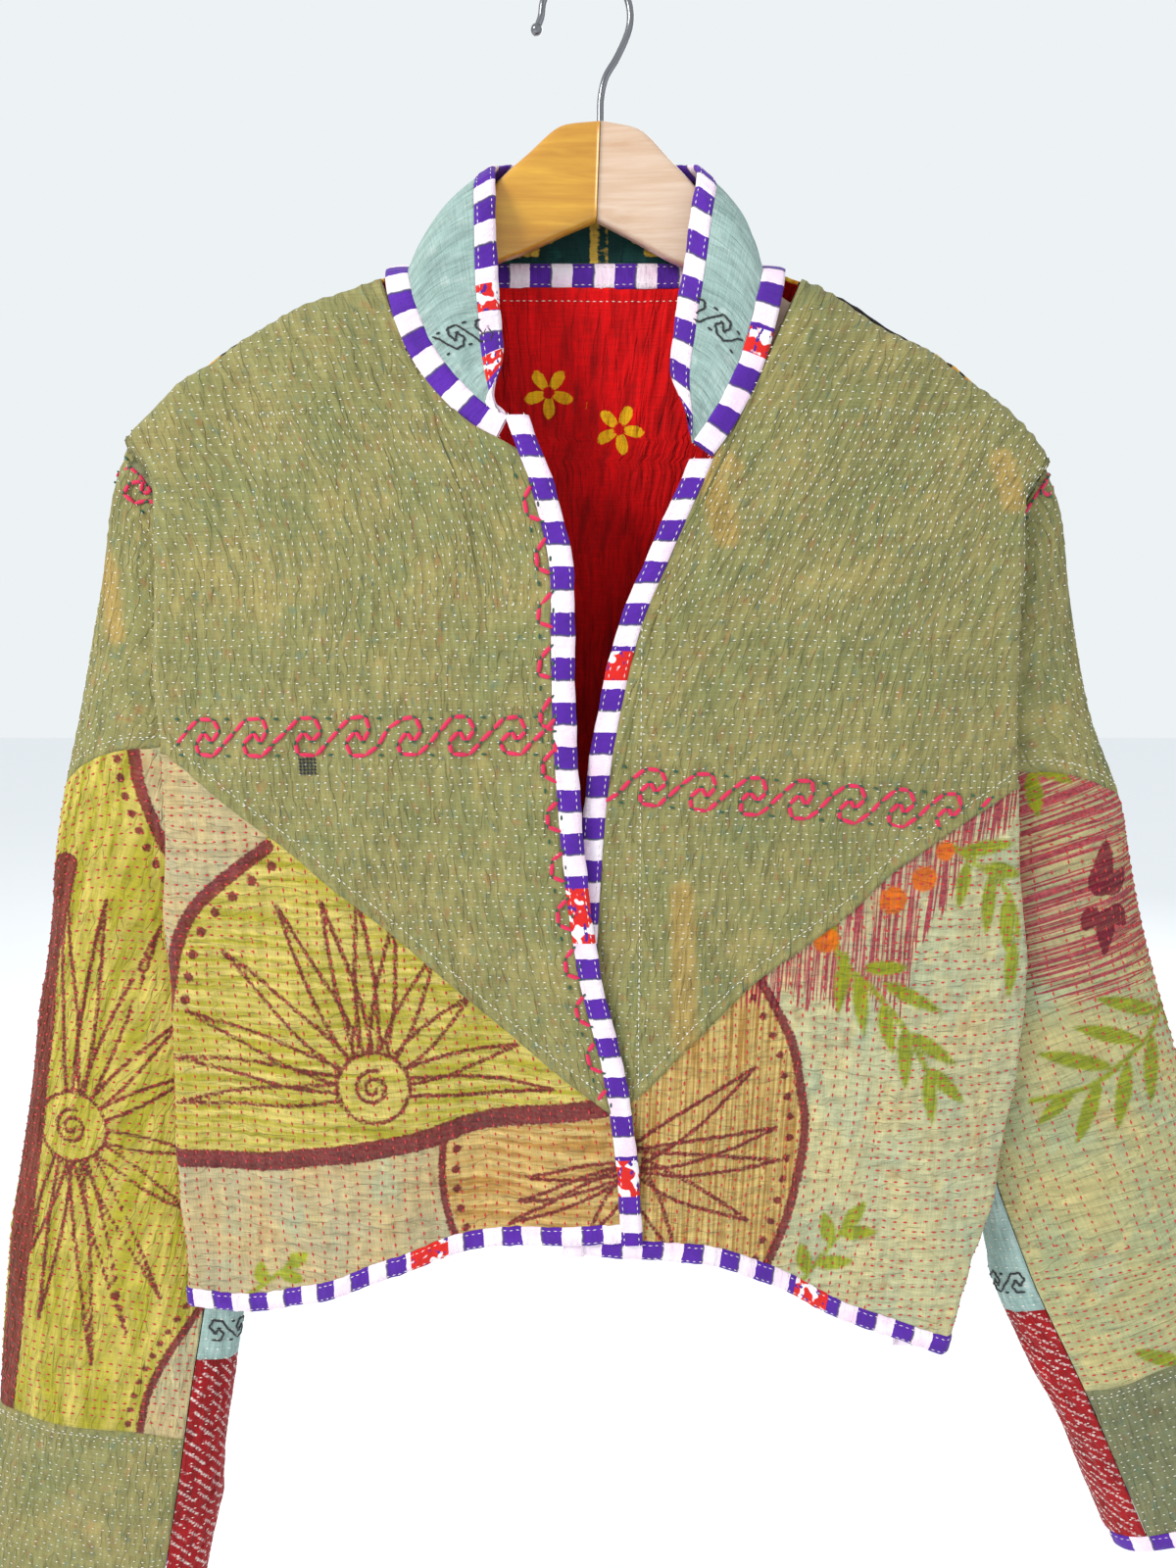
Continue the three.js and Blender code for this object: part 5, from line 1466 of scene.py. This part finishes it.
# Sleeves
CUFF_END = 0.985
SLEEVE_PIECES = {
    "l": (("upper", OLIVE_WORN, OLIVE_COOL, worn_patch(([(-237, -276), (-233, -310)], 5)), GRID_PLAIN,
           "olive_cloth"),
          ("mid", LIMED_SLEEVE, PLAIN_INSIDE, print_sleeve_left, GRID_PRINT, "printed_cloth"),
          ("cuff", OLIVE, OLIVE_COOL, None, GRID_PLAIN, "olive_cloth")),
    "r": (("upper", OLIVE, OLIVE_COOL, None, GRID_PLAIN, "olive_cloth"),
          ("mid", GOLDEN_SLEEVE, PLAIN_INSIDE, print_sleeve_right, GRID_PRINT, "printed_cloth"),
          ("cuff", OLIVE_COOL, OLIVE_COOL, None, GRID_PLAIN, "olive_cloth")),
}
SLEEVE_BACK_PIECES = (("back", AQUA, AQUA, None, GRID_PLAIN, "aqua_cloth"),
                      ("back_cuff", RED, RED, print_strokes, GRID_PRINT, "red_cloth"))
BORDER_ENDS = {"l": ((-236, -232), (-206, -262)), "r": ((208, -262), (234, -236))}


def goes_up(side, z):
    """Where the red rows run along the sleeve instead of round it."""
    return (z < -420) & (z > -640) & (side is RIGHT)


for side in (LEFT, RIGHT):
    n = side.name
    table = np.linspace(0, 1, 400)
    runs = curve(side.sleeve_run, table)
    for sheet_name, parts, ends in (("sleeve_", SLEEVE_PIECES[n], (0, side.upper, side.cuff, CUFF_END)),
                                    ("sleeve_back_", SLEEVE_BACK_PIECES, (0, side.back_cuff, CUFF_END))):
        for (part, outside, inner, fields, step, slot), low, high in zip(parts, ends, ends[1:]):
            first, last = curve(side.sleeve_run, [low, high])
            v = np.interp(np.linspace(first, last, round(float(last - first) / step) + 1), runs, table)
            wide = float(np.max(curve(side.sleeve_wide, v))) + 12
            t, v = np.meshgrid(np.linspace(0.002, 0.998, round(wide / step) + 1), v)
            made = shell(f"sleeve_{part}_{n}", SHEETS[sheet_name + n], t, slanted(side, t, v), outside, inner,
                         fields)
            keep_piece(made, f"sleeve_{part}_{n}")

    upper_run, cuff_run, end_run = curve(side.sleeve_run, [side.upper, side.cuff, CUFF_END])
    sheet = SHEETS["sleeve_" + n]
    white, reds, fine = Guide(), Guide(), Guide()
    for low, high, pitch, guide, seed in ((8, upper_run - 3, WHITE_ROWS, white, 41),
                                          (upper_run + 3, cuff_run - 3, RED_ROWS_ACROSS, reds, 42),
                                          (cuff_run + 3, end_run - 3, 4.4, white, 43)):
        t, length = rows_of(np.arange(low, high, pitch), even(0.03, 0.96, 0.012), seed)
        length = length + 1.0 * np.sin(t * 12 + length * 0.3)
        points, up = sheet.at(t, slanted(side, t, np.interp(length, runs, table)), ON_CLOTH)
        kept = t < 0.975
        if guide is reds:
            kept = kept & ~goes_up(side, points[..., 2])
        guide.line(points, up, kept)
    if side is RIGHT:
        length, t = rows_of(np.arange(0.03, 0.97, RED_ROWS_ACROSS / 110),
                            even(upper_run, cuff_run - 3, 1.4), 44)
        points, up = sheet.at(t, slanted(side, t, np.interp(length, runs, table)), ON_CLOTH)
        reds.line(points, up, goes_up(side, points[..., 2]) & (length < cuff_run - 3))
    t = even(0.01, 0.98, 0.012)
    for run in (upper_run - 6, cuff_run + 5):
        fine.line(*sheet.at(t, slanted(side, t, np.interp(run, runs, table) + 0 * t), CLOTH / 2 + 0.2))
    white.sew(f"running_stitch_sleeve_{n}", RUNNING, WHITE, "olive_cloth", 12, **QUILTING)
    reds.sew(f"red_stitch_sleeve_{n}", RUNNING, CRIMSON, "printed_cloth", 13, **RED_QUILTING)
    fine.sew(f"topstitch_sleeve_{n}", RUNNING, WHITE, "olive_cloth", 14, **MACHINED)

    # The turned seam where the sleeve is sewn in, seen below the shoulder tip
    z = even(side.tip - 10, -300, 2.0)
    here, there = SHEETS["front_" + n].at(1 + 0 * z, z)[0], armhole(side, z, False)
    facing = 0.5 * unit(np.cross(there - here, np.gradient(here, axis=0)))
    rings = np.stack([here + facing, there + facing, there - facing, here - facing], 1)
    keep_piece(loft(f"armhole_seam_{n}", rings, OLIVE_COOL), None)

    # Ends of the wave border, cut off where the shoulder was pieced
    long, short = Guide(), Guide()
    for guide, parts, lift in zip((long, short), hook_border(*BORDER_ENDS[n]), (0.5, 0.75)):
        guide.line(*on_sleeve(side, parts, lift))
    long.sew(f"wave_end_pink_{n}", SINGLE, PINK, "olive_cloth", **{**THICK_WAVE, "Width": 2.1})
    short.sew(f"wave_end_green_{n}", SINGLE, BOTTLE, "olive_cloth", **{**GREEN_WAVE, "Slack": 0.1})

    # A black wave round the back, above its red cuff
    sheet = SHEETS["sleeve_back_" + n]
    black = Guide()
    level = np.interp(side.back_cuff, table, runs) - 12
    wide = float(curve(side.sleeve_wide, side.back_cuff)) + 8
    for parts in hook_border((0.05 * wide, -level), (0.96 * wide, -level), 1, 0.62):
        t, v = parts[..., 0] / wide, np.interp(-parts[..., 1], runs, table)
        black.line(*sheet.at(t, slanted(side, t, v), CLOTH / 2 + 0.4))
    black.sew(f"wave_border_sleeve_{n}", SINGLE, BLACK, "aqua_cloth", 20, **BLACK_WAVE)
    pale = Guide()
    t, length = rows_of(np.arange(14, end_run - 4, SLEEVE_BACK_ROWS), even(0.03, 0.96, 0.012), 45)
    pale.line(*sheet.at(t, np.interp(length, runs, table), ON_CLOTH), t < 0.975)
    pale.sew(f"running_stitch_sleeve_back_{n}", RUNNING, WHITE, "aqua_cloth", 15, **SLEEVE_BACK_QUILTING)

    turn = np.linspace(0, 2 * math.pi, 131)[:-1]
    points = sleeve_loop(side, CUFF_END + 0 * turn, turn)
    inside = sleeve_loop(side, CUFF_END - 0.02 + 0 * turn, turn)
    up = unit(np.cross(np.roll(points, -1, axis=0) - np.roll(points, 1, axis=0), points - inside))
    up *= np.sign(np.sum(up * (points - points.mean(0))))
    made, lines = tape(f"binding_cuff_{n}", points, up, inside, STRIPES, closed=True)
    keep_piece(made, f"binding_cuff_{n}")
    Guide().line(*lines[0]).sew(f"binding_stitch_cuff_{n}", RUNNING, WHITE, "striped_binding", 16,
                                **EDGE_STITCH)

# Collar
sheet = SHEETS["collar"]
u = even(-1, 1, 1 / 200)
height = np.linalg.norm(COLLAR_EDGE((u + 1) / 2) - COLLAR_SEAM((u + 1) / 2), axis=-1)
top = np.maximum(0.1, 1 - TAPE_WIDTH / height)
v = mix(0.01, top, np.linspace(0, 1, 26)[:, None])
made = shell("collar", sheet, np.broadcast_to(u, v.shape), v, AQUA, TEAL_CROSSES, print_collar)
keep_piece(made, "collar")
points, up = sheet.at(u, top)
made, lines = tape("binding_collar", points, up, sheet.at(u, top - 0.05)[0], STRIPES, [(18, 30), (52, 66)])
keep_piece(made, "binding_collar")

t = even(0.003, 0.997, 0.0042)
above, below = COLLAR_SEAM(t), PANEL_EDGE(t)
across = (below - above) / 2
tangent = COLLAR_SEAM(np.minimum(1, t + 0.002)) - COLLAR_SEAM(np.maximum(0, t - 0.002))
up = unit(np.cross(across, tangent))
NECK_SECTION = [(-1.12, 1.0), (-0.9, 1.5), (-0.45, 1.8), (0.2, 1.85), (0.8, 1.6), (1.12, 1.0), (1.12, -1.0),
                (0.8, -1.6), (0.2, -1.8), (-0.45, -1.8), (-0.9, -1.5), (-1.12, -1.0)]
section = np.array(NECK_SECTION)
middle = above + across
run = run_along(middle)
puff = 1 + 0.06 * np.sin(run / 3.3) + 0.05 * np.sin(run / 1.9)
rings = (middle[:, None] + across[:, None] * section[:, :1]
         + up[:, None] * (section[:, 1] * puff[:, None])[..., None])
made = loft("binding_neck", rings, STRIPES, lengths=(run, run_along(section * (5, 1))))
mark_flowered(made, (run > run[-1] - 62) & (run < run[-1] - 50), len(section))
keep_piece(made, "binding_neck")
fine = Guide()
for line in lines:
    fine.line(*line)
for edge in (-0.78, 0.78):
    fine.line(middle + across * edge + up * (1.66 * puff)[:, None], up)
fine.sew("binding_stitch_collar", RUNNING, WHITE, "striped_binding", 17, **EDGE_STITCH)


def nearest_on(line, x, z):
    t = np.linspace(0, 1, 600)
    return 2 * t[np.argmin((line(t)[:, 0] - x) ** 2 + (line(t)[:, 2] - z) ** 2)] - 1


# The black wave on each side of the collar, small and loosely sewn
black = Guide()
AROUND, UP = 170, 42
for low, high, hand in (((-79, -177), (-38, -162), 1), ((76, -176), (43, -150), -1)):
    start = (nearest_on(COLLAR_SEAM, *low) * AROUND, 0.06 * UP)
    end = (nearest_on(COLLAR_EDGE, *high) * AROUND, 0.8 * UP)
    for parts in hook_border(start, end, hand, 0.5):
        black.line(*sheet.at(parts[..., 0] / AROUND, parts[..., 1] / UP, CLOTH / 2 + 0.35))
small = {**BLACK_WAVE, "Width": 1.1, "Height": 0.9}
black.sew("wave_border_collar", SINGLE, BLACK, "aqua_cloth", 18, **small)

# Hanger: its tilt is in radians, and its arms end in a rounded tip
HANGER_JOINT, HANGER_TOP, HANGER_THICK, HANGER_TILT = 7, -66, 11.5, 0.038
ARM_STRAIGHT, ARM_TIP, TIP_ROUND = 205, 8, 8.2
ARM_TOP = [(0, 0), (17, -3), (35, -18), (49, -31.5), (70, -58.5), (84, -73.5), (96, -81.5), (130, -95),
           (163, -112.5), (197, -136), (213, -153)]
ARM_BOTTOM = [(0, -45), (17, -53), (35, -62), (49, -68), (70, -88), (84, -101), (96, -111), (130, -124),
              (163, -139), (197, -163), (213, -173)]
for side, finish in ((LEFT, DARK_WOOD), (RIGHT, PALE_WOOD)):
    s = side.sign
    rounded = ARM_STRAIGHT + ARM_TIP * np.sin(np.linspace(0, math.pi / 2, 8))
    x = np.concatenate([even(0.15, ARM_STRAIGHT, 2.0), rounded[1:]])
    top, bottom = curve(ARM_TOP, x), curve(ARM_BOTTOM, x)
    close = np.sqrt(np.clip(1 - ((x - ARM_STRAIGHT) / TIP_ROUND).clip(0) ** 2, 0.02, 1))
    middle, half = (top + bottom) / 2, (top - bottom) / 2 * close
    angle = np.linspace(0, 2 * math.pi, 41)[:-1]
    y = squarish(np.cos(angle), 0.45) * HANGER_THICK / 2
    px, py = np.broadcast_arrays(s * x[:, None], y * close[:, None])
    pz = middle[:, None] + half[:, None] * squarish(np.sin(angle), 0.3)
    tx = px * math.cos(HANGER_TILT) + pz * math.sin(HANGER_TILT) + HANGER_JOINT
    tz = -px * math.sin(HANGER_TILT) + pz * math.cos(HANGER_TILT) + HANGER_TOP
    made = loft(f"hanger_arm_{side.name}", vec(tx, py + ridge_y(tx - HANGER_JOINT), tz), finish)
    keep_piece(made, f"hanger_arm_{side.name}")

# The hook, with a small ball on its free end
HOOK_ACROSS, WIRE, BALL = 46, 3.5, 2.8
radius = (HOOK_ACROSS - WIRE) / 2
degrees = np.radians(np.linspace(195, -25, 15))
bend = np.stack([radius * np.cos(degrees) - np.where(degrees > math.pi, 3, 0), 0 * degrees,
                 WIRE / 2 - radius + radius * np.sin(degrees)], -1)
stem = [(14.5, 0, -38), (9.5, 0, -46), (7.3, 0, -55), (7, 0, -64), (7, 0, -80), (7, 0, -95)]
path = through([*bend, *stem])(np.linspace(0, 1, 220))
beside = np.array([0.0, 1.0, 0.0])
out = np.cross(unit(np.gradient(path, axis=0)), beside)
angle = np.linspace(0, 2 * math.pi, 17)[:-1]
round_wire = np.cos(angle)[None, :, None] * out[:, None] + np.sin(angle)[None, :, None] * beside
made = loft("hanger_hook", path[:, None] + WIRE / 2 * round_wire, CHROME)
turn = np.linspace(-math.pi / 2 + 0.15, math.pi / 2 - 0.15, 12)
ball_path = path[0] + BALL * np.sin(turn)[:, None] * unit(path[0] - path[1])
end = loft("hook_ball", ball_path[:, None] + BALL * np.cos(turn)[:, None, None] * round_wire[:1], CHROME)
keep_piece(made, "hanger_hook")
keep_piece(end, None)

# Stage, light and camera
bpy.ops.mesh.primitive_plane_add(size=12, location=(0, 0, -1.15))
floor = bpy.context.object
floor.name = "floor"
floor.data.materials.append(new_material("pale_floor", Base_Color=linear("#F4F6F8"), Roughness=0.9)[0])

world = bpy.data.worlds.new("pale")
world.use_nodes = True
world.node_tree.nodes["Background"].inputs["Color"].default_value = linear("#EDF2F5")
world.node_tree.nodes["Background"].inputs["Strength"].default_value = 1.0
bpy.context.scene.world = world

JACKET_MIDDLE = Vector((0, 0, -0.45))
for name, place, size, watts, colour in (("key", (-1.6, -1.3, 0.75), 0.7, 40, "#FFFDF8"),
                                         ("fill", (1.6, -1.6, -0.2), 1.6, 3, "#F4F8FF"),
                                         ("back", (0.6, 2.0, 0.6), 1.6, 22, "#FFFFFF")):
    data = bpy.data.lights.new(name, "AREA")
    data.size, data.energy, data.color = size, watts, linear(colour)[:3]
    lamp = bpy.data.objects.new(name, data)
    bpy.context.scene.collection.objects.link(lamp)
    lamp.location = place
    lamp.rotation_euler = (JACKET_MIDDLE - Vector(place)).to_track_quat("-Z", "Y").to_euler()
bpy.context.scene.view_settings.view_transform = "Standard"

# The camera's view: half its height and its focal length in pixels of the picture, and its downward tilt
HALF_HEIGHT, FOCAL_LENGTH, TILT = 800, 1202, 9.7
camera_data = bpy.data.cameras.new("camera")
camera_data.sensor_fit = "VERTICAL"
camera_data.sensor_height = 24
camera_data.lens = camera_data.sensor_height / 2 * FOCAL_LENGTH / HALF_HEIGHT
camera = bpy.data.objects.new("camera", camera_data)
bpy.context.scene.collection.objects.link(camera)
camera.location = (0.001, -0.6145, -0.285)
camera.rotation_euler = (math.radians(90 - TILT), 0, 0)
bpy.context.scene.camera = camera
